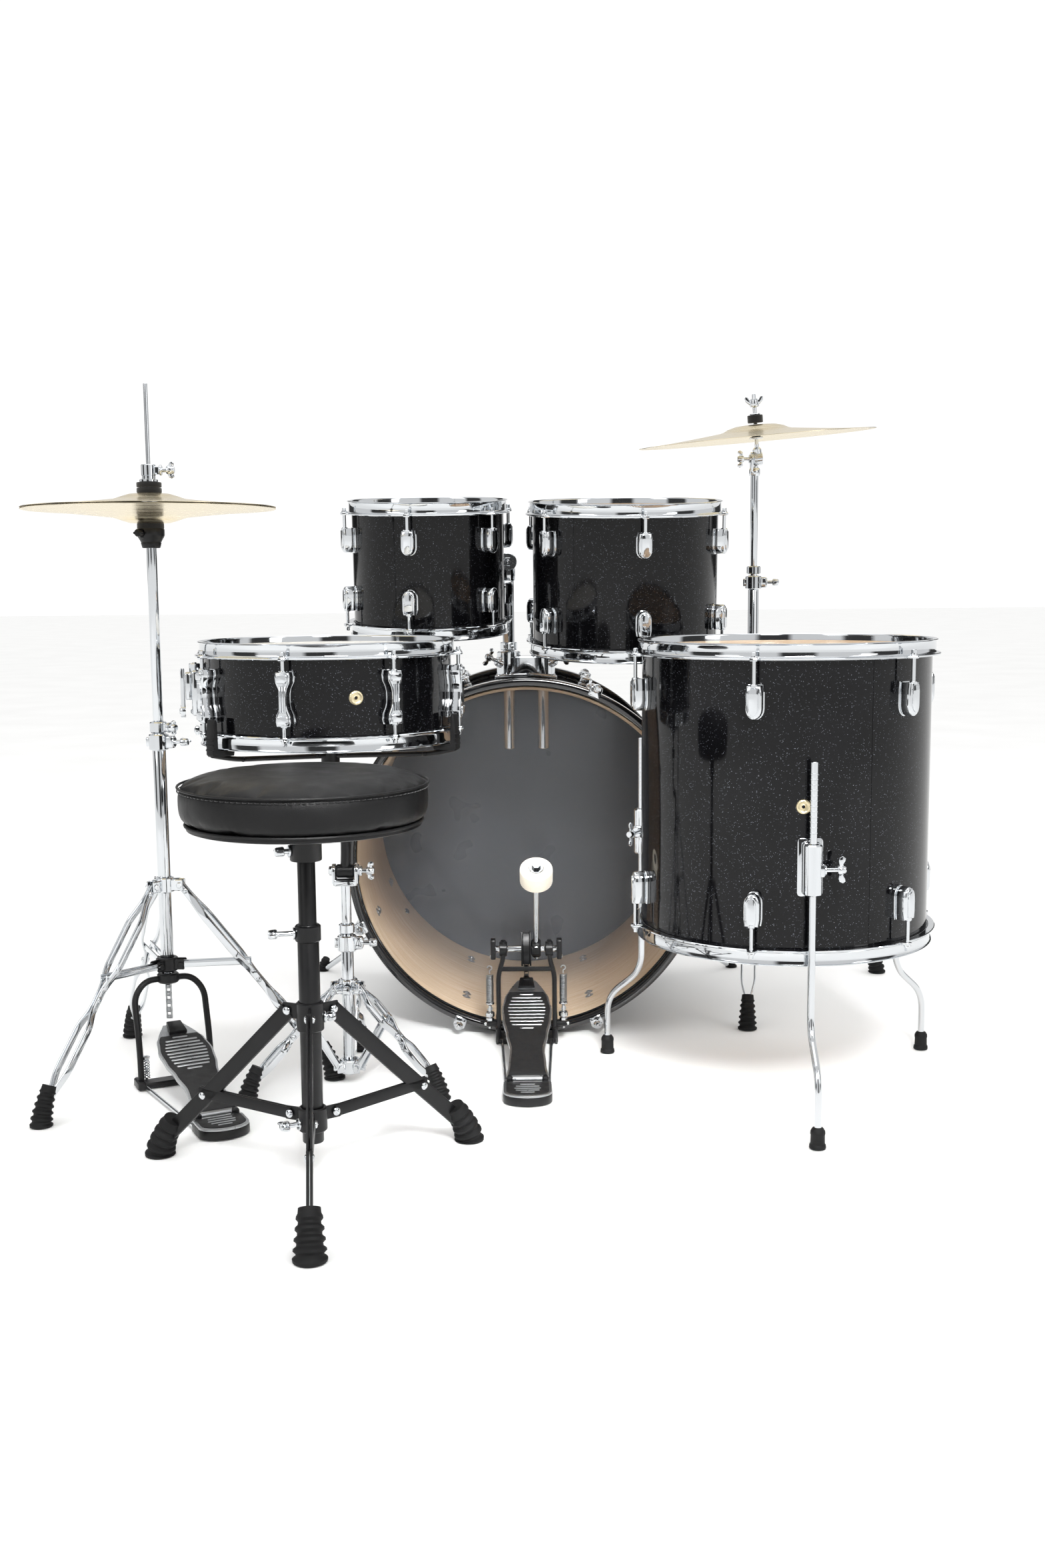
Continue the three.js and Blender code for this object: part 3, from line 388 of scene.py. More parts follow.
def circle_tree():
    """Repeats the object's own mesh round Z: a count of copies, from a first angle."""
    tree, given = new_tree("Copies round an axis", (
        ("Count", "NodeSocketInt"), ("First Angle", "NodeSocketFloat"), ("Material", "NodeSocketMaterial")))
    points = node(tree, "GeometryNodeMeshLine", {"Count": given["Count"], "Offset": (0, 0, 0)})
    index = node(tree, "GeometryNodeInputIndex")
    step = node(tree, "ShaderNodeMath", {0: math.tau, 1: given["Count"]}, operation="DIVIDE")
    angle = node(tree, "ShaderNodeMath", {0: index.outputs[0], 1: step.outputs[0],
                                          2: given["First Angle"]}, operation="MULTIPLY_ADD")
    euler = node(tree, "ShaderNodeCombineXYZ", {"Z": angle.outputs[0]})
    turn = node(tree, "FunctionNodeEulerToRotation", {0: euler.outputs[0]})
    copies = node(tree, "GeometryNodeInstanceOnPoints", {
        "Points": points.outputs[0], "Instance": given["Geometry"], "Rotation": turn.outputs[0]})
    return close_tree(tree, copies.outputs[0], given["Material"])


def path_tree():
    """Repeats the object's own mesh along a path object, each copy turned by a further twist."""
    tree, given = new_tree("Copies along a path", (
        ("Path", "NodeSocketObject"), ("Count", "NodeSocketInt"), ("Twist", "NodeSocketFloat"),
        ("Material", "NodeSocketMaterial")))
    route = node(tree, "GeometryNodeObjectInfo", {"Object": given["Path"]}, transform_space="ORIGINAL")
    curve = node(tree, "GeometryNodeMeshToCurve", {0: route.outputs["Geometry"]})
    even = node(tree, "GeometryNodeResampleCurve", {"Curve": curve.outputs[0], "Count": given["Count"]})
    way = node(tree, "GeometryNodeInputTangent")
    aim = node(tree, "FunctionNodeAlignRotationToVector", {"Vector": way.outputs[0]}, axis="Z")
    index = node(tree, "GeometryNodeInputIndex")
    angle = node(tree, "ShaderNodeMath", {0: index.outputs[0], 1: given["Twist"]}, operation="MULTIPLY")
    euler = node(tree, "ShaderNodeCombineXYZ", {"Z": angle.outputs[0]})
    turn = node(tree, "FunctionNodeEulerToRotation", {0: euler.outputs[0]})
    spun = node(tree, "FunctionNodeRotateRotation", {0: aim.outputs[0], 1: turn.outputs[0]},
                rotation_space="LOCAL")
    copies = node(tree, "GeometryNodeInstanceOnPoints", {
        "Points": even.outputs[0], "Instance": given["Geometry"], "Rotation": spun.outputs[0]})
    return close_tree(tree, copies.outputs[0], given["Material"])


def grown(form, tree, coat, values, place):
    item = bpy.data.objects.new("item", form.mesh())
    bpy.context.scene.collection.objects.link(item)
    modifier = item.modifiers.new("copies", "NODES")
    modifier.node_group = tree
    names = {s.name: s.identifier for s in tree.interface.items_tree if s.in_out == "INPUT"}
    for label, value in {**values, "Material": FINISH[coat]}.items():
        modifier[names[label]] = value
    graph = bpy.context.evaluated_depsgraph_get()
    made = bpy.data.meshes.new_from_object(item.evaluated_get(graph), depsgraph=graph)
    old = item.data
    bpy.data.objects.remove(item)
    bpy.data.meshes.remove(old)
    made.transform(place)
    return made


def round_copies(form, count, first, coat, place=None):
    """Copies of one item round an axis."""
    values = {"Count": count, "First Angle": math.radians(first)}
    return grown(form, TREES["circle"], coat, values, place or Matrix())


def path_copies(form, points, count, twist, coat, place=None):
    """Copies of one item along a path."""
    line = bpy.data.meshes.new("route")
    line.from_pydata([tuple(p) for p in points], [(i, i + 1) for i in range(len(points) - 1)], [])
    route = bpy.data.objects.new("route", line)
    bpy.context.scene.collection.objects.link(route)
    values = {"Path": route, "Count": count, "Twist": math.radians(twist)}
    made = grown(form, TREES["path"], coat, values, place or Matrix())
    bpy.data.objects.remove(route)
    bpy.data.meshes.remove(line)
    return made


TREES = {}


# ------------------------------------------------------------------ pieces
def piece(name, body, shape, coat, replaces=(), place=None, sharp=38):
    """Makes a finished piece from a form or a plain mesh, and hangs it on its body."""
    mesh = shape.mesh(coat) if isinstance(shape, Form) else shape
    mesh.transform(KIT @ place if place else KIT)
    mesh.name = name
    mesh.shade_smooth()
    mesh.set_sharp_from_angle(angle=math.radians(sharp))
    made = bpy.data.objects.new(name, mesh)
    bpy.context.scene.collection.objects.link(made)
    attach(made, body)
    if replaces:
        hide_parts(replaces)
    return made


def placed(form, coat, place):
    mesh = form.mesh(coat)
    mesh.transform(place)
    return mesh


def joined(*meshes):
    """Several plain meshes as one, keeping their finishes."""
    whole, materials = bmesh.new(), []
    for mesh in meshes:
        at_start = len(whole.faces)
        whole.from_mesh(mesh)
        whole.faces.ensure_lookup_table()
        slots = []
        for material in mesh.materials:
            if material not in materials:
                materials.append(material)
            slots.append(materials.index(material))
        for face in whole.faces[at_start:]:
            face.material_index = slots[face.material_index]
        bpy.data.meshes.remove(mesh)
    result = bpy.data.meshes.new("joined")
    whole.to_mesh(result)
    whole.free()
    for material in materials:
        result.materials.append(material)
    return result


# ------------------------------------------------------------------ finishes
def colour(text):
    """An sRGB hex colour as linear RGBA."""
    parts = [int(text.lstrip("#")[i:i + 2], 16) / 255 for i in (0, 2, 4)]
    return tuple(c / 12.92 if c <= 0.04045 else ((c + 0.055) / 1.055) ** 2.4 for c in parts) + (1.0,)


def finish(name, base, roughness, metallic=0.0, **extra):
    """A new finish with its plain settings on the shader; gives the material, its tree and shader."""
    made = bpy.data.materials.new(name)
    made.use_nodes = True
    tree = made.node_tree
    shader = tree.nodes["Principled BSDF"]
    values = {"Base Color": colour(base) if isinstance(base, str) else base,
              "Roughness": roughness, "Metallic": metallic, **extra}
    for key, value in values.items():
        shader.inputs[key].default_value = value
    return made, tree, shader


# noise mostly stays between these two values
SPOT_SPAN = {"From Min": 0.3, "From Max": 0.7}


def spots(tree, size, detail=2.0, stretch=(1, 1, 1)):
    """Soft spots over the piece's own coordinates, of a size in mm."""
    where = node(tree, "ShaderNodeTexCoord").outputs["Object"]
    spread = node(tree, "ShaderNodeMapping", {"Vector": where, "Scale": stretch})
    return node(tree, "ShaderNodeTexNoise", {
        "Vector": spread.outputs[0], "Scale": 1 / (size * MM), "Detail": detail}).outputs["Fac"]


def worn(tree, shader, size, detail, low, high):
    """Roughness that wanders between two values, in spots of a size in mm."""
    band = node(tree, "ShaderNodeMapRange", {
        "Value": spots(tree, size, detail), **SPOT_SPAN, "To Min": low, "To Max": high})
    tree.links.new(band.outputs[0], shader.inputs["Roughness"])


def mottled(tree, shader, pattern, one, two):
    """Base colour that wanders between two hex colours with a pattern."""
    band = node(tree, "ShaderNodeMapRange", {"Value": pattern, **SPOT_SPAN})
    mix = node(tree, "ShaderNodeMix", {0: band.outputs[0], 6: colour(one), 7: colour(two)}, data_type="RGBA")
    tree.links.new(mix.outputs[2], shader.inputs["Base Color"])


def grained(tree, shader, size, depth, strength):
    """Skin with spots of a size and depth in mm raised on it."""
    skin = node(tree, "ShaderNodeBump", {
        "Height": spots(tree, size), "Distance": depth * MM, "Strength": strength})
    tree.links.new(skin.outputs[0], shader.inputs["Normal"])


def sparkle_laminate(look):
    """Glossy black plastic laminate over fine glitter: a deep wet black with pin-point silver flecks."""
    made, tree, shader = finish("black_sparkle_laminate", "#060607", 0.07, IOR=1.49, **{
        "Specular IOR Level": 0.3})
    where = node(tree, "ShaderNodeTexCoord").outputs["Object"]
    # real flecks are about 0.2 mm; drawn coarser so that they still show from across a room
    cells = node(tree, "ShaderNodeTexVoronoi", {
        "Vector": where, "Scale": 1 / (look.fleck_size * MM)}, feature="F1")
    near = node(tree, "ShaderNodeMath", {0: cells.outputs["Distance"], 1: 0.34}, operation="LESS_THAN")
    parts = node(tree, "ShaderNodeSeparateColor", {0: cells.outputs["Color"]})
    rare = node(tree, "ShaderNodeMath", {0: parts.outputs[0], 1: 1 - look.fleck_share},
                operation="GREATER_THAN")
    bright = node(tree, "ShaderNodeMath", {0: near.outputs[0], 1: rare.outputs[0]}, operation="MULTIPLY")
    dim = node(tree, "ShaderNodeMath", {0: bright.outputs[0], 1: parts.outputs[1]}, operation="MULTIPLY")
    haze = node(tree, "ShaderNodeMapRange", {"Value": spots(tree, 60.0), **SPOT_SPAN})
    ground = node(tree, "ShaderNodeMix", {0: haze.outputs[0], 6: colour("#060607"), 7: colour("#0B0B0D")},
                  data_type="RGBA")
    mix = node(tree, "ShaderNodeMix", {0: dim.outputs[0], 6: ground.outputs[2], 7: colour("#8C909A")},
               data_type="RGBA")
    tree.links.new(mix.outputs[2], shader.inputs["Base Color"])
    metal = node(tree, "ShaderNodeMath", {0: dim.outputs[0], 1: 0.8}, operation="MULTIPLY")
    tree.links.new(metal.outputs[0], shader.inputs["Metallic"])
    return made


def bright_chrome():
    """Decorative chrome plate on steel: a hard cool mirror, with the faintest haze from wiping."""
    made, tree, shader = finish("bright_chrome", "#DDE0E3", 0.06, 1.0)
    worn(tree, shader, 24.0, 4.0, 0.035, 0.085)
    grained(tree, shader, 9.0, 0.01, 0.12)
    return made


def cast_silver():
    """Cast zinc, satin plated: duller and greyer than the chrome around it."""
    made, tree, shader = finish("satin_cast_zinc", "#B4B6B8", 0.32, 1.0)
    grained(tree, shader, 1.2, 0.05, 0.3)
    worn(tree, shader, 8.0, 4.0, 0.26, 0.42)
    return made


def powder_black():
    """Black powder coat on steel: deep black with a soft shine and a fine orange-peel skin."""
    made, tree, shader = finish("black_powder_coat", "#070708", 0.32, IOR=1.5, **{
        "Specular IOR Level": 0.35})
    grained(tree, shader, 1.1, 0.05, 0.35)
    worn(tree, shader, 18.0, 5.0, 0.28, 0.44)
    mottled(tree, shader, spots(tree, 40.0, 3.0), "#070708", "#0D0D0F")
    return made


def black_lacquer():
    """Polished black lacquer on a maple hoop: piano gloss, a little softer where hands wear it."""
    made, tree, shader = finish("gloss_black_lacquer", "#08080A", 0.1, IOR=1.5, **{
        "Coat Weight": 1.0, "Coat Roughness": 0.03})
    worn(tree, shader, 30.0, 4.0, 0.07, 0.16)
    grained(tree, shader, 14.0, 0.03, 0.15)
    return made


def shell_ply():
    """Clear-sealed poplar ply, rolled into a shell: warm tan with grain running round the drum."""
    made, tree, shader = finish("sealed_poplar_ply", "#C9A684", 0.38, IOR=1.5, **{
        "Coat Weight": 0.35, "Coat Roughness": 0.12})
    where = node(tree, "ShaderNodeUVMap", uv_map="surface").outputs[0]
    # u runs up the shell in mm and v once round it, so the grain is drawn long in v
    spread = node(tree, "ShaderNodeMapping", {"Vector": where, "Scale": (0.16, 14.0, 1.0)})
    grain = node(tree, "ShaderNodeTexNoise", {"Vector": spread.outputs[0], "Scale": 1.0, "Detail": 5.0,
                                              "Distortion": 0.35}).outputs["Fac"]
    mottled(tree, shader, grain, "#E0C19C", "#F2DDC0")
    skin = node(tree, "ShaderNodeBump", {"Height": grain, "Distance": 0.08 * MM, "Strength": 0.3})
    tree.links.new(skin.outputs[0], shader.inputs["Normal"])
    return made


def clear_film(look):
    """Clear polyester drumhead film: nearly invisible, with a sheet of reflection over it."""
    made, tree, shader = finish("clear_polyester_film", "#70747A", 0.05, IOR=1.6, Alpha=look.film_opacity)
    made.surface_render_method = "BLENDED"
    made.use_backface_culling = False
    worn(tree, shader, 90.0, 2.0, 0.03, 0.08)
    return made


def dark_film():
    """Dark grey polyester drumhead film: smooth slate grey with a soft sheen."""
    made, tree, shader = finish("dark_polyester_film", "#3E4146", 0.36, IOR=1.6)
    mottled(tree, shader, spots(tree, 120.0, 3.0), "#3B3E43", "#44474C")
    worn(tree, shader, 90.0, 2.0, 0.26, 0.36)
    return made


def coated_film():
    """White coated drumhead: matt paper white with a sandy grit that the sticks play on."""
    made, tree, shader = finish("white_coated_film", "#E6E4DE", 0.7, IOR=1.5)
    grained(tree, shader, 0.9, 0.06, 0.5)
    mottled(tree, shader, spots(tree, 45.0, 4.0), "#DEDCD6", "#ECEAE5")
    return made


def lathed_bronze(look):
    """Lathed cymbal bronze: pale gold with fine concentric tool rings that smear reflections."""
    made, tree, shader = finish("lathed_bronze", "#E3CE9C", 0.24, 1.0)
    where = node(tree, "ShaderNodeUVMap", uv_map="surface").outputs[0]
    run = node(tree, "ShaderNodeSeparateXYZ", {0: where}).outputs[0]
    # tool rings are under 1 mm apart; drawn at the set pitch so that they still show
    pace = node(tree, "ShaderNodeMath", {0: run, 1: math.tau / look.ring_pitch}, operation="MULTIPLY")
    wave = node(tree, "ShaderNodeMath", {0: pace.outputs[0]}, operation="SINE")
    bands = node(tree, "ShaderNodeTexNoise", {"W": node(tree, "ShaderNodeMath", {
        0: run, 1: 0.16}, operation="MULTIPLY").outputs[0], "Scale": 1.0, "Detail": 3.0},
        noise_dimensions="1D").outputs["Fac"]
    band = node(tree, "ShaderNodeMapRange", {"Value": bands, **SPOT_SPAN, "To Min": 0.17, "To Max": 0.33})
    tree.links.new(band.outputs[0], shader.inputs["Roughness"])
    mottled(tree, shader, bands, "#E6D3A8", "#F6EBD0")
    both = node(tree, "ShaderNodeMath", {0: wave.outputs[0], 1: 0.25, 2: bands}, operation="MULTIPLY_ADD")
    skin = node(tree, "ShaderNodeBump", {"Height": both.outputs[0], "Distance": 0.1 * MM, "Strength": 0.35})
    tree.links.new(skin.outputs[0], shader.inputs["Normal"])
    return made


def seat_vinyl():
    """Black upholstery vinyl: leather-grained skin with a soft shine that breaks on the grain."""
    made, tree, shader = finish("grained_black_vinyl", "#070708", 0.4, IOR=1.5, **{
        "Specular IOR Level": 0.3})
    where = node(tree, "ShaderNodeTexCoord").outputs["Object"]
    # leather grain of about 0.8 mm, drawn at twice that so that it shows
    cells = node(tree, "ShaderNodeTexVoronoi", {"Vector": where, "Scale": 1 / (1.7 * MM)},
                 feature="DISTANCE_TO_EDGE").outputs["Distance"]
    pebble = node(tree, "ShaderNodeMapRange", {"Value": cells, "From Min": 0.0, "From Max": 0.22}).outputs[0]
    skin = node(tree, "ShaderNodeBump", {"Height": pebble, "Distance": 0.14 * MM, "Strength": 0.4})
    tree.links.new(skin.outputs[0], shader.inputs["Normal"])
    worn(tree, shader, 35.0, 4.0, 0.36, 0.52)
    mottled(tree, shader, spots(tree, 50.0, 3.0), "#050506", "#0B0B0C")
    return made


def moulded_rubber():
    """Moulded black rubber: dead black, a little dusty, with no mirror in it."""
    made, tree, shader = finish("moulded_rubber", "#0A0A0B", 0.66, IOR=1.52, **{"Specular IOR Level": 0.3})
    grained(tree, shader, 1.6, 0.08, 0.5)
    mottled(tree, shader, spots(tree, 14.0, 5.0), "#060607", "#0E0E0F")
    return made


def pressed_felt(name, one, two):
    """Pressed wool felt: soft, matt and fibrous, without a highlight."""
    made, tree, shader = finish(name, one, 0.95, IOR=1.45, **{"Sheen Weight": 0.35, "Sheen Roughness": 0.5})
    fibre = spots(tree, 1.3, 5.0, (1.0, 1.0, 2.2))
    mottled(tree, shader, fibre, one, two)
    skin = node(tree, "ShaderNodeBump", {"Height": fibre, "Distance": 0.25 * MM, "Strength": 0.6})
    tree.links.new(skin.outputs[0], shader.inputs["Normal"])
    return made


def polished_brass():
    """Polished brass grommet: small warm mirror."""
    made, tree, shader = finish("polished_brass", "#EBDCB6", 0.34, 1.0)
    worn(tree, shader, 3.0, 2.0, 0.28, 0.4)
    grained(tree, shader, 1.5, 0.03, 0.2)
    return made


def grip_pad():
    """Moulded grip insert of a footboard: flat matt black with a pebbled face."""
    made, tree, shader = finish("black_grip_insert", "#141415", 0.55, IOR=1.5)
    grained(tree, shader, 0.9, 0.08, 0.6)
    worn(tree, shader, 12.0, 4.0, 0.48, 0.66)
    return made


def studio_floor():
    """Matt white studio floor paint."""
    made, tree, shader = finish("white_floor_paint", "#F4F4F3", 0.9)
    mottled(tree, shader, spots(tree, 400.0), "#F2F2F1", "#F6F6F5")
    return made


FINISH = {}


def make_finishes(look):
    """Mixes every finish once."""
    FINISH.update(
        wrap=sparkle_laminate(look), chrome=bright_chrome(), silver=cast_silver(), black=powder_black(),
        lacquer=black_lacquer(), ply=shell_ply(), clear=clear_film(look), dark=dark_film(),
        coated=coated_film(), bronze=lathed_bronze(look), vinyl=seat_vinyl(), rubber=moulded_rubber(),
        cream_felt=pressed_felt("cream_pressed_felt", "#EDE2CB", "#F6EFDF"),
        black_felt=pressed_felt("black_pressed_felt", "#101011", "#1C1C1D"),
        brass=polished_brass(), pad=grip_pad(), floor=studio_floor())


# ------------------------------------------------------------------ fittings that several pieces share
def wing_bolt(form, place, reach=24.0, span=30.0):
    """Wing bolt standing out along Z: washer, threaded shank, and a winged head across X."""
    turned(form, [(0, 0), (7, 0), (7.6, 0.8), (7.6, 2.2), (7, 3), (0, 3)], 20, place)
    turned(form, [(0, 2), (3.2, 2), (3.2, reach - 7), (0, reach - 7)], 16, place)
    turned(form, [(0, reach - 12), (5.4, reach - 12), (6.2, reach - 10.5), (5.6, reach - 3),
                  (4.4, reach - 1.2), (0, reach - 0.8)], 20, place)
    for side in PAIR:
        outline = [(side * x, y) for x, y in ((3, -4.2), (span / 2 - 6, -5.8), (span / 2 - 2, -4.4),
                                              (span / 2, 0), (span / 2 - 2.4, 3.6), (span / 2 - 6.4, 3.0),
                                              (7.5, 0.4), (3, 1.6))]
        lie = place @ at(0, 1.7, reach - 5) @ spin(90, "X")
        plate(form, outline, 0, 3.4, 1.1, lie, 2)


def nut(form, place, size, height, low=0.0):
    """Hexagon nut, chamfered."""
    plate(form, circle(size, 6), low, low + height, min(size, height) * 0.16, place, 1)


def cross_screw(form, place, radius, height):
    """Domed screw head."""
    turned(form, [(0, 0), (radius, 0), (radius * 0.97, height * 0.4), (radius * 0.72, height * 0.85),
                  (radius * 0.3, height), (radius * 0.28, height * 0.55), (0, height * 0.5)], 16, place)


def height_clamp(form, tube_radius, low, high, wing_angle, place, bulge=5.0):
    """Die-cast clamp at the top of a tube: ring, split ear with a wing bolt, and a small boss opposite the
    ear.
    """
    ring(form, tube_radius - 0.2, tube_radius + bulge, low, high, 40, place, 1.6)
    ear = place @ facing(wing_angle, tube_radius + bulge - 3, (low + high) / 2)
    plate(form, rounded(13, (high - low) * 0.8, 3), 0, 12, 2, ear)
    wing_bolt(form, ear @ at(0, 0, 10), 24)
    back = place @ facing(wing_angle + 180, tube_radius + bulge - 3, (low + high) / 2)
    plate(form, rounded(9, (high - low) * 0.6, 2.5), 0, 7, 1.4, back)


def boot(form, place, foot, top, wide, narrow, ribs=5):
    """Ribbed rubber foot: flat on the floor, then leaning along its leg. Points are (out, up)."""
    (x0, z0), (x1, z1) = foot, top
    count = ribs * 4
    path, scale = [], []
    for i in range(count + 1):
        t, run = i / count, max(0, i - 1) / (count - 1)  # the sole stays flat
        lean = run * run * (1.5 - 0.5 * run)
        path.append(Vector((x0 + (x1 - x0) * (0.35 * run + 0.65 * lean), 0, z0 + (z1 - z0) * t)))
        body = wide + (narrow - wide) * t
        rib = (1.0, 1.0, 0.82, 0.82)[i % 4] if t < 0.86 else 0.9
        scale.append(body * rib if i else wide * 0.97)
    sweep(form, path, circle(1.0, 24), (0, 1, 0), place, scale=scale)


def twin_leg(form, place, start, end, width=11.0, thick=3.4, bow=12.0):
    """Chrome leg of two flat straps that bow apart twice. Points are (out, up) in the leg's plane."""
    start, end = Vector((start[0], 0, start[1])), Vector((end[0], 0, end[1]))
    for side in PAIR:
        shape = ((0, 2.2), (0.07, 2.2), (0.17, bow), (0.40, bow), (0.49, 2.2), (0.60, 2.2), (0.67, bow * 0.9),
                 (0.88, bow * 0.9), (0.975, 2.2), (1.0, 2.2))
        path = [start.lerp(end, t) + Vector((0, side * off, 0)) for t, off in shape]
        across = (end - start).normalized().cross(Vector((0, 1, 0)))
        flat_bar(form, bent(path, 9, 4), width, thick, across, place)
    for t in (0.035, 0.545, 0.99):
        spot = start.lerp(end, t)
        for side in PAIR:
            cross_screw(form, place @ Matrix.Translation(spot + Vector((0, side * 3.6, 0)))
                        @ spin(-90 * side, "X"), 4.2, 2.6)


def brace_pair(form, place, start, end, width=9.0, thick=2.6, gap=6.2):
    """Two flat braces from the hub to the joint of a leg."""
    for side in PAIR:
        a, b = Vector((start[0], side * gap, start[1])), Vector((end[0], side * gap, end[1]))
        across = (b - a).normalized().cross(Vector((0, 1, 0)))
        flat_bar(form, [a, a.lerp(b, 0.5), b], width, thick, across, place)


def hub_ring(form, tube_radius, z, half, ear, angles, ear_wide, place, bulge=5.0):
    """Collar with a forked ear over each leg."""
    ring(form, tube_radius - 0.3, tube_radius + bulge, z - half, z + half, 40, place, 1.4)
    for angle in angles:
        for side in PAIR:
            spot = place @ at(turn=angle)
            block(form, (tube_radius, side * ear_wide / 2 - 1.6, z - half * 0.75),
                  (ear + 5, side * ear_wide / 2 + 1.6, z + half * 0.75), 1.2, spot)
            bolt = spot @ at(ear, side * (ear_wide / 2 + 1.2), z) @ spin(-90 * side, "X")
            nut(form, bolt, 4.4, 3.0)


def cymbal_profile(radius, bell, rise, thick=1.4, hole=6.6):
    """Cross-section of a cymbal, edge at height 0: bell, shoulder, and a slow bow to a thin edge."""
    top = [(hole, rise), (bell * 0.35, rise - 0.2), (bell * 0.62, rise - 1.4), (bell * 0.86, rise - 5.0),
           (bell, rise * 0.55 + 1.6), (bell * 1.12, rise * 0.55)]
    bow = rise * 0.55
    for i in range(1, 15):
        t = i / 14
        r = bell * 1.12 + (radius - bell * 1.12) * t
        top.append((r, bow * (1 - t) ** 1.25))
    under = [(r, z - thick * (1 - 0.45 * min(1, r / radius))) for r, z in reversed(top)]
    return top + under


# ------------------------------------------------------------------ drums
def shell_pieces(name, facts):
    """Wrapped ply shell of a drum, with its wrap seam."""
    radius, half, place = facts["radius"], facts["depth"] / 2, facts["at"]
    wrap = Form()
    ring(wrap, radius - WRAP_SKIN, radius, 3 - half, half - 3, 128, soft=0.3)
    block(wrap, (-5, 4 - half, -0.5), (5, half - 4, 0.45), 0.2, facing(facts["seam"], radius))
    piece(f"{name}_wrap", facts["body"], wrap, "wrap", f"{name}_shell", place=place)
    ply = Form()
    inner = radius - SHELL_WALL
    turned(ply, [(inner, 8 - half), (radius - 2.4, -half), (radius - 1.2, 0.6 - half),
                 (radius - 0.9, 2 - half), (radius - 0.9, half - 2), (radius - 1.2, half - 0.6),
                 (radius - 2.4, half), (inner, half - 8)], 128, loop=True)
    piece(f"{name}_ply", facts["body"], ply, "ply", place=place)


def tom_lug(form, wide, tall, proud, radius, middle, out):
    """Cast lug: square at the rod end, round at the other, with a stepped foot. Out is +1 or -1."""
    half = tall / 2
    outline = [(-wide * 0.4, half), (-wide * 0.46, half * 0.55), (-wide * 0.46, -half * 0.35)]
    outline += [(-wide * 0.46 * math.cos(a), -half * 0.35 - half * 0.65 * math.sin(a))
                for a in (math.radians(d) for d in range(18, 180, 18))]
    outline += [(wide * 0.46, -half * 0.35), (wide * 0.46, half * 0.55), (wide * 0.4, half)]
    body = [(x, y * out) for x, y in outline]
    place = facing(0, radius, middle)
    plate(form, [(x * 1.08, y * 1.04) for x, y in body], -1.0, 3.0, 1.0, place)
    plate(form, body, 2, proud - 1.5, 4.2, place, 3)
    face = [(x * 0.62, y * 0.8 + out * half * 0.04) for x, y in body]
    plate(form, face, proud - 3, proud, 0.9, place, 2)
    rod(form, Vector((radius + ROD_OUT, 0, middle + out * (half - 4))),
        Vector((radius + ROD_OUT, 0, middle + out * (half + 1.5))), 5.2, 20)


def snare_lug(form, wide, tall, proud, radius):
    """Hourglass lug with three ribs down its waist, for rods from both ends."""
    half, side = tall / 2, []
    for t, w in ((1, 0.40), (0.82, 0.46), (0.6, 0.42), (0.38, 0.27), (0.2, 0.21), (0, 0.2)):
        side.append((wide * w, half * t))
    right = side + [(x, -y) for x, y in reversed(side[:-1])]
    outline = right + [(-x, y) for x, y in reversed(right)]
    place = facing(0, radius, 0)
    plate(form, [(x * 1.1, y * 1.02) for x, y in outline], -1, 3, 1, place)
    plate(form, outline, 2, proud - 3, 3, place, 3)
    for x in (-3.4, 0, 3.4):
        block(form, (x - 1.1, -half * 0.5, proud - 5), (x + 1.1, half * 0.5, proud - 1), 0.9, place)
    for end in PAIR:
        plate(form, rounded(wide * 0.7, half * 0.34, 3.5), proud - 5, proud, 2, place
              @ at(0, end * half * 0.76, 0), 3)
        rod(form, (radius + ROD_OUT, 0, end * (half - 4)), (radius + ROD_OUT, 0, end * (half + 1.5)), 5, 20)


def lug_pieces(name, facts):
    """The ring of lugs, and the tension rods with their hoop ears."""
    wide, tall, proud = facts["lug"]
    radius, half = facts["radius"], facts["depth"] / 2
    lugs, rods = Form(), Form()
    if facts["rows"] == 2:
        for out in PAIR:
            tom_lug(lugs, wide, tall, proud, radius, out * (half - facts["inset"]), out)
    else:
        snare_lug(lugs, wide, tall, proud, radius)
    reach = half - facts["inset"] + tall / 2 if facts["rows"] == 2 else tall / 2
    ear_low = half - HOOP_SKIRT
    inner = radius + HOOP_INNER
    for out in PAIR:
        flip = Matrix.Diagonal((1, 1, out, 1))
        middle = radius + ROD_OUT
        outline = [(inner + 5, -8), (middle - 2, -7.2), (middle + 4.5, -5), (middle + 6.5, 0),
                   (middle + 4.5, 5), (middle - 2, 7.2), (inner + 5, 8)]
        plate(rods, outline, ear_low - 0.4, ear_low + 3.4, 1.1, flip)
        turned(rods, [(0, reach - 4), (2.7, reach - 4), (2.7, ear_low + 4), (0, ear_low + 4)], 14,
               flip @ at(middle, 0, 0))
        turned(rods, [(0, ear_low + 3), (5.6, ear_low + 3), (5.9, ear_low + 3.8), (5.2, ear_low + 4.8),
                      (4.6, ear_low + 5), (4.4, ear_low + 6.6), (0, ear_low + 6.6)], 20,
               flip @ at(middle, 0, 0))
        block(rods, (-2.7, -2.7, ear_low + 6), (2.7, 2.7, ear_low + 11.5), 0.7, flip @ at(middle, 0, 0))
    for label, form in (("lugs", lugs), ("tension_rods", rods)):
        mesh = round_copies(form, facts["lugs"], facts["first"], "chrome", facts["at"])
        piece(f"{name}_{label}", facts["body"], mesh, "chrome")


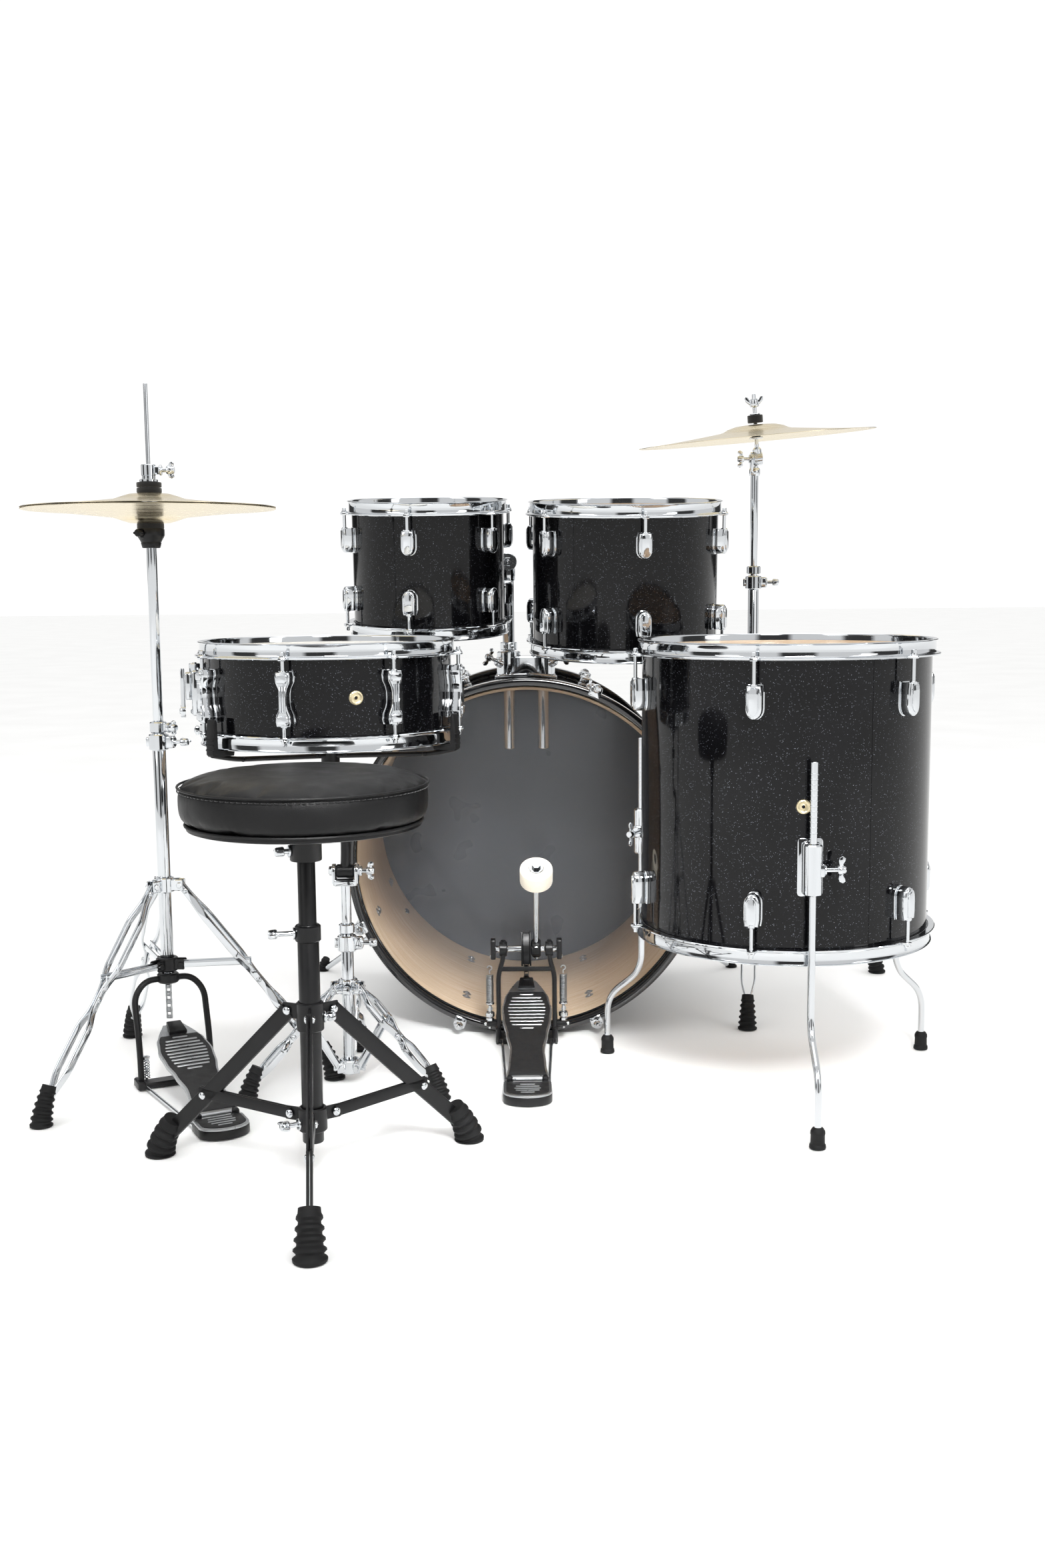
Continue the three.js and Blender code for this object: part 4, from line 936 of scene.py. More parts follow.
def hoop_piece(name, facts, end):
    """Flanged steel hoop: a foot that the ears grow from, a tall wall, and a lip rolled outwards."""
    inner, edge = facts["radius"] + HOOP_INNER, facts["depth"] / 2
    low, high = edge - HOOP_SKIRT, edge + HOOP_STAND
    wall = [(0, low + 0.6), (0.6, low), (8.4, low), (9.4, low + 0.8), (9.4, low + 2.2), (8.6, low + 3),
            (4.6, low + 3.2), (3.0, low + 4.4), (2.5, low + 6.2), (2.5, high - 3.4), (3.0, high - 2.3),
            (4.4, high - 1.9), (5.0, high - 1.2), (4.6, high - 0.4), (3.6, high), (1.4, high),
            (0.3, high - 1.2), (0, high - 2.6)]
    form = Form()
    flip = Matrix.Diagonal((1, 1, 1 if end == "top" else -1, 1))
    turned(form, [(inner + r, z) for r, z in wall], 128, flip, loop=True)
    piece(f"{name}_{end}_steel_hoop", facts["body"], form, "chrome", f"{name}_{end}_hoop", place=facts["at"])


def head_piece(name, facts, end, coat):
    """Drumhead: film stretched over the bearing edge, its collar, and the ring it is moulded into."""
    edge, radius = facts["depth"] / 2, facts["radius"]
    flip = Matrix.Diagonal((1, 1, 1 if end == "top" else -1, 1))
    film, lift = Form(), 0.45
    turned(film, [(0, edge + lift), (radius - 6, edge + lift), (radius - 1, edge + 0.1),
                  (radius + 0.5, edge - 2), (radius + 0.5, edge - 9), (radius + 0.8, edge - 9),
                  (radius + 0.8, edge - 1.8), (radius - 0.8, edge + 0.5), (radius - 6, edge + lift + 0.35),
                  (0, edge + lift + 0.35)], 128, flip)
    piece(f"{name}_{end}_film", facts["body"], film, coat, f"{name}_{end}_head", place=facts["at"])
    band = Form()
    ring(band, radius + 0.5, radius + 2.0, edge - 11.5, edge - 7, 96, flip, 0.4)
    piece(f"{name}_{end}_head_ring", facts["body"], band, "silver", place=facts["at"])


def badge_piece(name, body, angle, radius, height, place):
    """Brass vent grommet with a rolled rim."""
    form = Form()
    turned(form, [(0, -1), (9.5, -1), (9.9, 0.2), (9.2, 1.4), (7.6, 1.8), (6.4, 1.1), (3.6, 1.0), (2.6, 1.3),
                  (2.2, 0.9), (2.0, -0.6), (0, -0.6)], 32, facing(angle, radius, height))
    piece(name, body, form, "brass", place=place)


def tom_bracket(name, facts, post_x):
    """Mounting bracket on a rack tom: base plate, clamp body and wing bolt, facing its post."""
    place = facts["at"]
    middle = place.translation
    rise = (MOUNT_Y - middle.y) * math.tan(math.radians(TOM_TILT))
    tilter = Vector((post_x, MOUNT_Y, middle.z + rise))
    local = place.inverted() @ tilter
    angle = math.degrees(math.atan2(local.y, local.x))
    radius = facts["radius"]
    form, wall = Form(), facing(angle, radius)
    plate(form, rounded(34, 52, 6), -1.5, 2.6, 1.0, wall)
    plate(form, rounded(27, 38, 6), 1, TOM_BRACKET_PROUD, 3.4, wall, 3)
    for y in (-21, 21):
        cross_screw(form, wall @ at(0, y, 2.4), 3.4, 2.2)
    ring(form, 6.4, 10.5, TOM_BRACKET_PROUD - 3, TOM_BRACKET_PROUD + 5, 28, wall, 1.2)
    wing_bolt(form, wall @ at(0, 17, 7) @ spin(-90, "X"), 22)
    piece(f"{name}_bracket", name, form, "chrome", place=place)
    return tilter, place @ polar(angle, radius + TOM_BRACKET_PROUD - TOM_GRIP)


def tom_post(side, tilter, arm_end):
    """Chrome post with a memory collar, a ratchet tilter with its bolt, and the arm to the tom."""
    form, x = Form(), tilter.x
    tube(form, [(x, MOUNT_Y, 437.6), (x, MOUNT_Y, 438.4), (x, MOUNT_Y, tilter.z - 13),
                (x, MOUNT_Y, tilter.z - 12)], 10.0, 32, scale=(0.93, 1, 1, 0.93))
    ring(form, 9.8, 15, MOUNT_TOP + 2, MOUNT_TOP + 16, 36, at(x, MOUNT_Y), 1.5)
    block(form, (x - 4, MOUNT_Y - 22, MOUNT_TOP + 3), (x + 4, MOUNT_Y - 12, MOUNT_TOP + 15), 1.5)
    rod(form, (x - 9, MOUNT_Y - 18, MOUNT_TOP + 9), (x + 9, MOUNT_Y - 18, MOUNT_TOP + 9), 3)
    plate(form, rounded(25, 25, 8), tilter.z - 34, tilter.z - 10, 3, at(x, MOUNT_Y), 3)
    across = Vector((0, 1, 0))
    for start, end, size in ((-13, -3.4, 15.5), (-3.4, 3.4, 14), (3.4, 13, 15.5)):
        rod(form, tilter + across * start, tilter + across * end, size, 32, soft=1.4)
    teeth = Form()
    block(teeth, (13.2, -0.9, -3.2), (15.0, 0.9, 3.2), 0.4)
    way = (arm_end - tilter).normalized()
    tube(form, [tilter + way * 6, tilter + way * 7, arm_end - way * 1, arm_end], 6.0, 24,
         scale=(1, 1, 1, 0.85))
    rod(form, tilter + way * 8, tilter + way * 17, 9.5, 6, soft=1.2)
    for end, high in ((-13, 5.0), (13, 4.0)):
        bolt = Matrix.Translation(tilter + across * end) @ spin(90 if end < 0 else -90, "X")
        nut(form, bolt, 8.2, high)
        cross_screw(form, bolt @ at(0, 0, high - 0.4), 4.2, 2.4)
    ratchet = round_copies(teeth, 26, 0, "chrome", Matrix.Translation(tilter) @ spin(90, "X"))
    piece(f"tom_post_{side}_assembly", f"tom_post_{side}", joined(form.mesh("chrome"), ratchet), "chrome",
          f"tom_post_{side}")


def floor_leg_brackets(facts):
    """Cast leg brackets of the floor tom with their wing bolts."""
    form = Form()
    ring_out = facts["radius"] + 22
    for angle in (150.4, 30.4, -89.6):
        wall = facing(angle, facts["radius"], 354 - facts["at"].translation.z)
        plate(form, rounded(34, 78, 5), -1.5, 2.4, 1.0, wall)
        plate(form, rounded(24, 70, 4), 1, 13, 3, wall, 2)
        for y in (-33, 33):
            cross_screw(form, wall @ at(0, y, 2), 3.6, 2.2)
        spot = spin(angle, "Z")
        low = 320 - facts["at"].translation.z
        ring(form, 5.4, 12, low, low + 68, 28, spot @ at(ring_out, 0, 0), 2)
        block(form, (ring_out - 16, -9, low + 8), (ring_out - 4, 9, low + 60), 2, spot)
        bolt = (spot @ at(ring_out, 0, low + 34) @ spin(90, "Z") @ spin(90, "Y"))
        block(form, (-9, -8, 6), (9, 8, 16), 2.4, bolt)
        wing_bolt(form, bolt @ at(0, 0, 14), 30, 36)
    piece("floor_tom_leg_brackets", "kit_floor", form, "chrome", place=facts["at"])


def floor_leg(index, angle, facts):
    """Bent chrome leg with a knurled stretch and its rubber tip."""
    form, base = Form(), facts["at"].translation
    radius = facts["radius"] + 22
    spot = at(base.x, base.y, 0, angle)
    path = bent([(radius, 0, 495), (radius, 0, 138), (283, 0, 90), (283, 0, 10)], 26, 8)
    tube(form, [path[0] + Vector((0, 0, 0.9)), *path], 4.8, 20, spot, scale=[0.8] + [1.0] * len(path))
    for k in range(12):
        ring(form, 4.6, 5.3, 402 + k * 7, 404 + k * 7, 18, spot @ at(radius, 0, 0), 0.3)
    piece(f"floor_tom_leg_{index}_rod", f"floor_tom_leg_{index}", form, "chrome", f"floor_tom_leg_{index}")
    tip = Form()
    turned(tip, [(0, 0), (10.4, 0), (11, 1.2), (10.6, 5), (9.4, 6.4), (9.2, 18), (9.8, 19.2), (9.6, 23),
                 (7.2, 27), (5.4, 28), (0, 28)], 28, spot @ at(283, 0, 0))
    piece(f"floor_tom_leg_{index}_tip", f"floor_tom_leg_{index}", tip, "rubber")


# ------------------------------------------------------------------ bass drum
def bass_shell_pieces():
    """Bass shell: wrap outside, natural ply inside with the ends of its lug screws."""
    radius, near, far = BASS["radius"], BASS["near"], BASS["far"]
    wrap = Form()
    ring(wrap, radius - WRAP_SKIN, radius, near + 3, far - 3, 160, soft=0.3)
    piece("bass_wrap", "kit_floor", wrap, "wrap", "bass_shell", place=BASS_AT)
    ply = Form()
    turned(ply, [(radius - BASS["wall"], near + 9), (radius - 2.4, near), (radius - 0.9, near + 2),
                 (radius - 0.9, far - 2), (radius - 2.4, far), (radius - BASS["wall"], far - 9)], 160,
           loop=True)
    piece("bass_ply", "kit_floor", ply, "ply", place=BASS_AT)
    lugs, screws, rods = Form(), Form(), Form()
    rows = (near + BASS_LUG_INSET, far - BASS_LUG_INSET)
    for row, out in zip(rows, PAIR):
        tom_lug_at = facing(0, radius, row)
        outline = rounded(22, 46, 8)
        plate(lugs, [(x * 1.08, y * 1.04) for x, y in outline], -1, 3, 1, tom_lug_at)
        plate(lugs, outline, 2, 16.5, 4, tom_lug_at, 3)
        plate(lugs, rounded(13, 34, 5), 15, 18, 0.9, tom_lug_at, 2)
        rod(lugs, (radius + BASS_ROD_OUT - 7, 0, row), (radius + BASS_ROD_OUT - 7, 0, row + out * 27), 5.4,
            20)
        for shift in (-11, 11):
            inward = at(radius - BASS["wall"], 0, row + shift) @ spin(-90, "Y")
            turned(screws, [(0, -0.4), (7.2, -0.4), (7.2, 0.8), (6.8, 1.1), (0, 1.1)], 16, inward)
            cross_screw(screws, inward @ at(0, 0, 1), 4.2, 2.6)
    for end in PAIR:
        # claw hook over the hoop, and the key rod that draws it to the lug
        face = 0.0 if end < 0 else BASS["length"]
        flip = at(0, 0, face) @ Matrix.Diagonal((1, 1, -end, 1))
        claw = [(281.0, 0.3), (281.0, -2.8), (283.5, -4.2), (292, -4.4), (297.0, -2.6), (298.2, 2),
                (298.2, 30), (297.4, 38), (295.0, 41.2), (290.4, 41.2), (289.4, 39), (289.4, 0.3)]
        lie = flip @ spin(90, "X")
        plate(rods, claw, -10, 10, 2.0, lie, 2)
        boss = flip @ at(294.5, 0, 0)
        turned(rods, [(0, -9), (4.4, -9), (5.2, -8), (6.6, -4.4), (7.6, -3.8), (7.6, 2), (0, 2)], 24, boss)
        block(rods, (-2.9, -2.9, -15), (2.9, 2.9, -8), 0.8, boss)
        reach = BASS_LUG_INSET + near - 24
        turned(rods, [(0, 30), (2.9, 30), (2.9, reach + 4), (0, reach + 4)], 14, boss)
    for label, form, coat in (("lugs", lugs, "chrome"), ("claws", rods, "chrome"),
                              ("inside_screws", screws, "silver")):
        mesh = round_copies(form, BASS_LUGS, BASS_FIRST, coat, BASS_AT)
        piece(f"bass_{label}", "kit_floor", mesh, "chrome")


def bass_hoops_and_heads():
    """Lacquered wood hoops, clear batter film and dark front film."""
    for end, far in (("batter", False), ("front", True)):
        flip = at(0, 0, BASS["length"]) @ Matrix.Diagonal((1, 1, -1, 1)) if far else Matrix()
        place = BASS_AT @ flip
        hoop, width = Form(), BASS["hoop"]
        a, b = BASS_HOOP_IN, BASS_HOOP_OUT
        turned(hoop, [(a, 2.6), (a + 0.8, 0.9), (a + 2.6, 0), (b - 2.6, 0), (b - 0.8, 0.9), (b, 2.6),
                      (b, width - 2.6), (b - 0.8, width - 0.9), (b - 2.6, width), (a + 2.6, width),
                      (a + 0.8, width - 0.9), (a, width - 2.6)], 160, loop=True)
        piece(f"bass_{end}_wood_hoop", "kit_floor", hoop, "lacquer", f"bass_{end}_hoop", place=place)
        near, radius = BASS["near"], BASS["radius"]
        film = Form()
        turned(film, [(0, near - 0.8), (radius - 10, near - 0.8), (radius - 2, near - 0.1),
                      (radius + 0.4, near + 3), (radius + 0.4, near + 10), (radius + 0.8, near + 10),
                      (radius + 0.8, near + 2.4), (radius - 1.6, near - 0.6), (radius - 10, near - 1.2),
                      (0, near - 1.2)], 160)
        coat = "dark" if far else "clear"
        piece(f"bass_{end}_film", "kit_floor", film, coat, f"bass_{end}_head", place=place)
        band = Form()
        ring(band, radius + 0.4, radius + 1.1, near + 8, near + 15, 128, soft=0.2)
        piece(f"bass_{end}_head_ring", "kit_floor", band, "silver", place=place)


def tom_mount():
    """Cast tom mount: curved foot on the shell, twin sockets, and two slanting wing bolts."""
    form, top = Form(), MOUNT_TOP
    foot = []
    for i in range(13):
        x = -54 + 9 * i
        foot.append((x, math.sqrt(BASS["radius"] ** 2 - (x + 2) ** 2) - BASS["radius"]))
    base = [(x, z + 0.3) for x, z in foot] + [(x, z + 6.5) for x, z in reversed(foot)]
    shell_top = BASS_HOOP_OUT + BASS["radius"]
    lie = at(2, MOUNT_Y + 34, shell_top) @ spin(90, "X")
    plate(form, base, 0, 68, 1.2, lie)
    for x in MOUNT_X:
        ring(form, 10.3, 21, shell_top + 2, top, 40, at(x, MOUNT_Y), 2.2)
    block(form, (MOUNT_X[0], MOUNT_Y - 21, shell_top + 3), (MOUNT_X[1], MOUNT_Y + 21, top - 8), 3)
    for x, side in zip(MOUNT_X, PAIR):
        place = (at(x + side * 14, MOUNT_Y - 12, shell_top + 24) @ spin(side * 62, "Y") @ spin(28, "X"))
        turned(form, [(0, -4), (8, -4), (8.6, -2), (8.6, 6), (7, 8), (0, 8)], 24, place)
        wing_bolt(form, place @ at(0, 0, 7), 26, 34)
    for x in (-46, 50):
        for y in (-24, 24):
            drop = math.sqrt(BASS["radius"] ** 2 - x * x) + BASS_HOOP_OUT + 6
            cross_screw(form, at(x, MOUNT_Y + y, drop), 4.6, 3)
    piece("tom_mount_casting", "kit_floor", form, "chrome", "tom_mount_block")


def bass_spur(side, word):
    """Telescoping spur: bracket on the shell, chrome rod and rubber tip."""
    root = polar(215, BASS["radius"])
    start = Vector((-side * root.x, 330, BASS_HOOP_OUT + root.y))
    foot = Vector((side * 389, 438, 0))
    way = (foot - start).normalized()
    bracket = Form()
    outward = Vector((-side * root.x, 0, root.y)).normalized()
    look = Matrix.Translation(start) @ outward.to_track_quat("Z", "Y").to_matrix().to_4x4()
    plate(bracket, rounded(46, 62, 10), -2, 3, 1.2, look)
    for sx in PAIR:
        for sy in PAIR:
            cross_screw(bracket, look @ at(sx * 16, sy * 24, 2.8), 4, 2.4)
    frame_at = along(start - way * 4, start + way * 40)
    ring(bracket, 6.6, 14, 2, 42, 32, frame_at, 2.4)
    block(bracket, (-8, -8, 24), (8, 20, 38), 2.4, frame_at)
    wing_bolt(bracket, frame_at @ at(0, 19, 31) @ spin(-90, "X"), 24)
    piece(f"bass_spur_{word}_bracket", "kit_floor", bracket, "chrome")
    spur = Form()
    tube(spur, [start - way * 13, start - way * 12, foot - way * 16, foot - way * 12], 5.5, 20,
         scale=(0.85, 1, 1, 0.9))
    piece(f"bass_spur_{word}_rod", f"bass_spur_{word}", spur, "chrome", f"bass_spur_{word}")
    tip = Form()
    turn = math.degrees(math.atan2(-way.y, -way.x))
    boot(tip, at(foot.x, foot.y, 0, turn), (0, 0), (9, 24), 11, 7.5, 4)
    piece(f"bass_spur_{word}_tip", f"bass_spur_{word}", tip, "rubber")


# ------------------------------------------------------------------ snare fittings
def snare_fittings():
    """Throw-off with its wire clamp at one side, butt plate opposite, and the snare wires underneath."""
    facts = DRUMS["snare"]
    radius, half, place = facts["radius"], facts["depth"] / 2, facts["at"]
    form = Form()
    wall = facing(191.5, radius)
    plate(form, rounded(32, 72, 4), -1.5, 4, 1.2, wall)
    plate(form, rounded(26, 66, 5), 3, 17, 4, wall, 3)
    plate(form, rounded(18, 40, 4), 15, 25.5, 2.4, wall @ at(0, 10, 0), 2)
    for y in (-27, 27):
        cross_screw(form, wall @ at(0, y, 16.6), 3.8, 2.6)
    rod(form, polar(191.5, radius + 12, 26), polar(191.5, radius + 12, half - 20), 3.2, 14)
    turned(form, [(0, 30), (7, 30), (7.8, 31), (7.8, 41), (7, 42), (0, 42)], 24,
           Matrix.Translation(polar(191.5, radius + 12, 0)))
    block(form, (-13, -half + 4, 8), (13, -half + 16, 14), 1.6, wall)
    for x in (-9, 9):
        cross_screw(form, wall @ at(x, 10 - half, 13.6), 3, 2)
    butt = facing(11.5, radius)
    plate(form, rounded(32, 36, 4), -1.5, 3, 1, butt @ at(0, -18, 0))
    plate(form, rounded(26, 28, 5), 2, 13.5, 3, butt @ at(0, -18, 0), 3)
    for x in (-8, 8):
        cross_screw(form, butt @ at(x, -24, 13), 3.2, 2.2)
    piece("snare_strainer_and_butt", "snare_drum", form, "chrome", place=place)
    wires = Form()
    low = -half - 1.6
    turn = spin(11.5, "Z")
    for k in range(10):
        y = (k - 4.5) * 3.6
        coil = [Vector((-150 + 300 * i / 240, y + 1.0 * math.cos(i * 1.35),
                        low + 1.0 * math.sin(i * 1.35) - 0.6)) for i in range(241)]
        tube(wires, coil, 0.35, 4, turn)
    for side in PAIR:
        block(wires, (side * 148, -20, low - 2), (side * 160, 20, low + 0.2), 0.8, turn)
        block(wires, (side * 158, -13, low - 1.2), (side * (radius - 2), 13, low - 0.6), 0.25, turn)
    piece("snare_wires", "snare_drum", wires, "silver", place=place)
    lever = Form()
    low_z = -26
    arm = facing(191.5, radius + 26.3)
    outline = [(-6, low_z - 6), (6, low_z - 6), (6.6, low_z + 10), (5.2, low_z + 40), (6.8, low_z + 54),
               (5, low_z + 61), (-5, low_z + 61), (-6.8, low_z + 54), (-5.2, low_z + 40), (-6.6, low_z + 10)]
    plate(lever, outline, 0, 6, 1.6, arm, 3)
    turned(lever, [(0, -0.2), (9, -0.2), (9, 5.6), (8.2, 6.8), (0, 6.8)], 28, arm @ at(0, low_z, 0))
    cross_screw(lever, arm @ at(0, low_z, 6.6), 4.4, 2.2)
    piece("snare_throw_off_lever", "snare_throw_lever", lever, "chrome", "snare_throw_lever", place=place)


def snare_basket_piece():
    """Black three-armed basket: ball pivot, folding arms, and the rubber-capped grips at the hoop."""
    snare = DRUMS["snare"]["at"].translation
    centre = at(snare.x, snare.y)
    hoop_out = 177.8 + HOOP_INNER + 9
    arm_high = snare.z - 63.5 - HOOP_STAND - 0.3
    arm_low, grip_in = arm_high - 9, hoop_out + 1
    steel, rubber, bright = Form(), Form(), Form()
    pivot = Vector((SNARE_STAND_AT[0], SNARE_STAND_AT[1], 316))
    rod(steel, pivot - Vector((13, 0, 0)), pivot + Vector((13, 0, 0)), 10, 24)
    tube(steel, smooth_path([pivot, pivot + Vector((0, 0, 55)), (snare.x, snare.y, 385),
                             (snare.x, snare.y, arm_high - 4)], 6), 7.2, 20)
    for k in range(14):
        ring(bright, 6.9, 8.2, 398 + k * 4.4, 400.4 + k * 4.4, 20, centre, 0.4)
    turned(steel, [(0, arm_low - 26), (11, arm_low - 26), (13.5, arm_low - 23), (13.5, arm_low - 4),
                   (11, arm_low - 2), (0, arm_low - 2)], 32, centre)
    turned(steel, [(0, 432), (13, 432), (16, 435), (16, 447), (13, 450), (0, 450)], 12, centre)
    for angle in (221.5, 341.5, 101.5):
        spot = centre @ at(turn=angle)
        path = bent([(8, 0, arm_low - 13), (grip_in - 30, 0, arm_low - 6), (grip_in + 5, 0, arm_low + 2)],
                    30, 6)
        flat_bar(steel, path, 11, 7, (0, 1, 0), spot)
        for r in (26, grip_in - 40):
            for side in PAIR:
                cross_screw(steel, spot @ at(r, side * 5.2, arm_low - 11 + r * 0.03)
                            @ spin(-90 * side, "X"), 3.6, 2.2)
        profile = [(grip_in - 24, arm_low + 0.5), (grip_in + 7, arm_low), (grip_in + 9.6, arm_low + 3),
                   (grip_in + 9, arm_low + 30), (grip_in + 7.4, arm_low + 46),
                   (grip_in + 6.4, arm_low + 51), (grip_in + 3.2, arm_low + 52),
                   (grip_in + 1.6, arm_low + 49.5), (grip_in + 0.8, arm_low + 14),
                   (grip_in + 0.4, arm_high), (grip_in - 22, arm_high), (grip_in - 25, arm_high - 3)]
        lie = spot @ spin(90, "X")
        plate(rubber, profile, -9.5, 9.5, 1.6, lie, 2)
        for k in range(3):
            block(rubber, (grip_in + 7, -9.9, arm_low + 8 + k * 7),
                  (grip_in + 10.2, 9.9, arm_low + 10.6 + k * 7), 0.8, spot)
    piece("snare_basket_arms", "snare_drum", steel, "black", "snare_basket")
    piece("snare_basket_grips", "snare_drum", rubber, "rubber")
    piece("snare_basket_thread", "snare_drum", bright, "chrome")


# ------------------------------------------------------------------ stands
def tripod(name, stands_for, plan, tube_radius, inner, collar, hub, top, foot_ring, brace, angles, ear,
           foot_high, foot_wide, leg_wide, bottom, wing, coat="chrome"):
    """Double-braced tripod: column, collar, hub, three twin legs with brace pairs, and rubber boots."""
    place = at(*plan)
    column, legs, boots = Form(), Form(), Form()
    turned(column, [(inner + 0.4, bottom), (tube_radius - 0.6, bottom), (tube_radius, bottom + 0.8),
                    (tube_radius, top - 1), (tube_radius - 0.6, top), (inner + 0.4, top)], 40, place,
           loop=True)
    hub_ring(column, tube_radius, collar, 11, ear, angles, 13, place)
    wing_bolt(column, place @ facing(angles[1] - 60, tube_radius + 4, collar), 20, 26)
    height_clamp(column, tube_radius, top - 24, top - 1, wing, place)
    black_hub = Form()
    target = black_hub if coat == "black" else column
    hub_ring(target, tube_radius, hub, 10, ear - 2, angles, 14, place, 6.0)
    ankle = (foot_ring - 14, foot_high * 0.62)
    for angle in angles:
        spot = place @ at(turn=angle)
        twin_leg(legs, spot, (ear, collar), ankle, 11.0, 3.4, leg_wide / 2 - 1)
        brace_pair(legs, spot, (ear - 2, hub), (brace[0] + 4, brace[1] - 2))
        boot(boots, spot, (foot_ring, 0), (foot_ring - 17, foot_high), foot_wide, foot_wide * 0.66, 6)
    piece(f"{name}_column", "kit_floor", column, "chrome", stands_for)
    piece(f"{name}_legs", "kit_floor", legs, "chrome")
    piece(f"{name}_boots", "kit_floor", boots, "rubber")
    if coat == "black":
        piece(f"{name}_hub", "kit_floor", black_hub, "black")


def snare_stand_tube_piece():
    """Upper snare stand tube with its fork and tilt bolt."""
    form, place = Form(), at(*SNARE_STAND_AT)
    tube(form, [(0, 0, 165), (0, 0, 166), (0, 0, 296), (0, 0, 300)], 7.4, 28, place, scale=(0.9, 1, 1, 1))
    plate(form, rounded(36, 24, 6), 295, 305, 2, place, 2)
    for side in PAIR:
        lie = place @ at(side * 16.5, 0, 316) @ spin(90, "Y")
        plate(form,
              [(-11 * math.cos(a),
                11 * math.sin(a)) for a in (math.radians(d) for d in range(-90, 91,
                                                                           15))] + [(17, 11), (17, -11)],
              -2.5, 2.5, 0.9, lie)
        lie_out = lie if side > 0 else lie @ spin(180, "X")
        nut(form, lie_out, 7, 5, 2.2)
    wing_bolt(form, place @ at(21, 0, 316) @ spin(90, "Y"), 22, 28)
    ring(form, 7.2, 11.5, 224, 238, 32, place, 1.4)
    piece("snare_stand_upper", "snare_stand_tube", form, "chrome", "snare_stand_tube")


def cymbal_piece(name, stands_for, body, radius, bell, rise, place):
    form = Form()
    turned(form, cymbal_profile(radius, bell, rise), 160, place, loop=True)
    piece(name, body, form, "bronze", stands_for, sharp=50)


def hihat_pieces():
    """Hi-hat upper tube, cup, felts, clutch and the two cymbals."""
    place = at(*HIHAT_AT)
    form, felts = Form(), Form()
    turned(form, [(3.4, 384), (6.6, 384), (7.2, 385), (7.2, 786), (3.4, 786)], 32, place, loop=True)
    ring(form, 7.0, 12.5, 517, 533, 32, place, 1.6)
    block(form, (8, -4, 519), (20, 4, 531), 1.6, place @ at(turn=-28))
    wing_bolt(form, place @ at(turn=-28) @ at(19, 0, 525) @ spin(90, "Y"), 15, 22)
    piece("hihat_upper_tube", "hihat_tube", form, "chrome", "hihat_tube")
    cup = Form()
    turned(cup, [(3.6, 782), (12, 782), (13, 783), (14.4, 789), (14, 790), (18.6, 798), (19.4, 800),
                 (19.4, 808), (18.6, 809.4), (3.6, 809.4)], 40, place, loop=True)
    wing_bolt(cup, place @ facing(-120, 15, 803), 15, 18)
    piece("hihat_seat_cup", "hihat_tube", cup, "black")
    turned(felts, [(3.8, 809.2), (18.2, 809.2), (19, 810.2), (19, 815.8), (18.2, 816.8), (3.8, 816.8)], 40,
           place, loop=True)
    piece("hihat_lower_felt", "hihat_tube", felts, "black_felt")
    under = at(HIHAT_AT[0], HIHAT_AT[1], 836.3) @ Matrix.Diagonal((1, 1, -1, 1))
    cymbal_piece("hihat_lower_cymbal", "hihat_bottom_cymbal", "hihat_tube", 177.8, 48, 20, under)
    cymbal_piece("hihat_upper_cymbal", "hihat_top_cymbal", "hihat_top", 177.8, 48, 20,
                 at(HIHAT_AT[0], HIHAT_AT[1], 839.4))
    clutch, pads = Form(), Form()
    crown = 859.4
    turned(pads, [(3.8, crown + 0.4), (17, crown + 0.4), (17.6, crown + 1.2), (17.6, crown + 6.2),
                  (17, crown + 7), (3.8, crown + 7)], 40, place, loop=True)
    turned(pads, [(3.8, crown + 8.2), (17, crown + 8.2), (17.6, crown + 9), (17.6, crown + 14.2),
                  (17, crown + 15), (3.8, crown + 15)], 40, place, loop=True)
    turned(pads, [(3.8, crown - 8.4), (13, crown - 8.4), (13, crown - 2.6), (3.8, crown - 2.6)], 32, place,
           loop=True)
    piece("hihat_clutch_felts", "hihat_top", pads, "black_felt")
    turned(clutch, [(3.4, crown - 11.6), (11, crown - 11.6), (11, crown - 8.6), (6.2, crown - 8.4),
                    (6.2, crown + 15), (12, crown + 15), (13, crown + 16), (13, crown + 18.6),
                    (12, crown + 19.4), (9.4, crown + 19.6), (9.4, crown + 24), (10.2, crown + 24.6),
                    (10.2, crown + 39), (9.4, crown + 40), (3.4, crown + 40)], 36, place, loop=True)
    block(clutch, (4, -5, crown + 26), (17, 5, crown + 38), 2, place)
    wing_bolt(clutch, place @ at(16, 0, crown + 32) @ spin(90, "Y"), 22, 24)
    piece("hihat_clutch_body", "hihat_top", clutch, "chrome", "hihat_clutch")


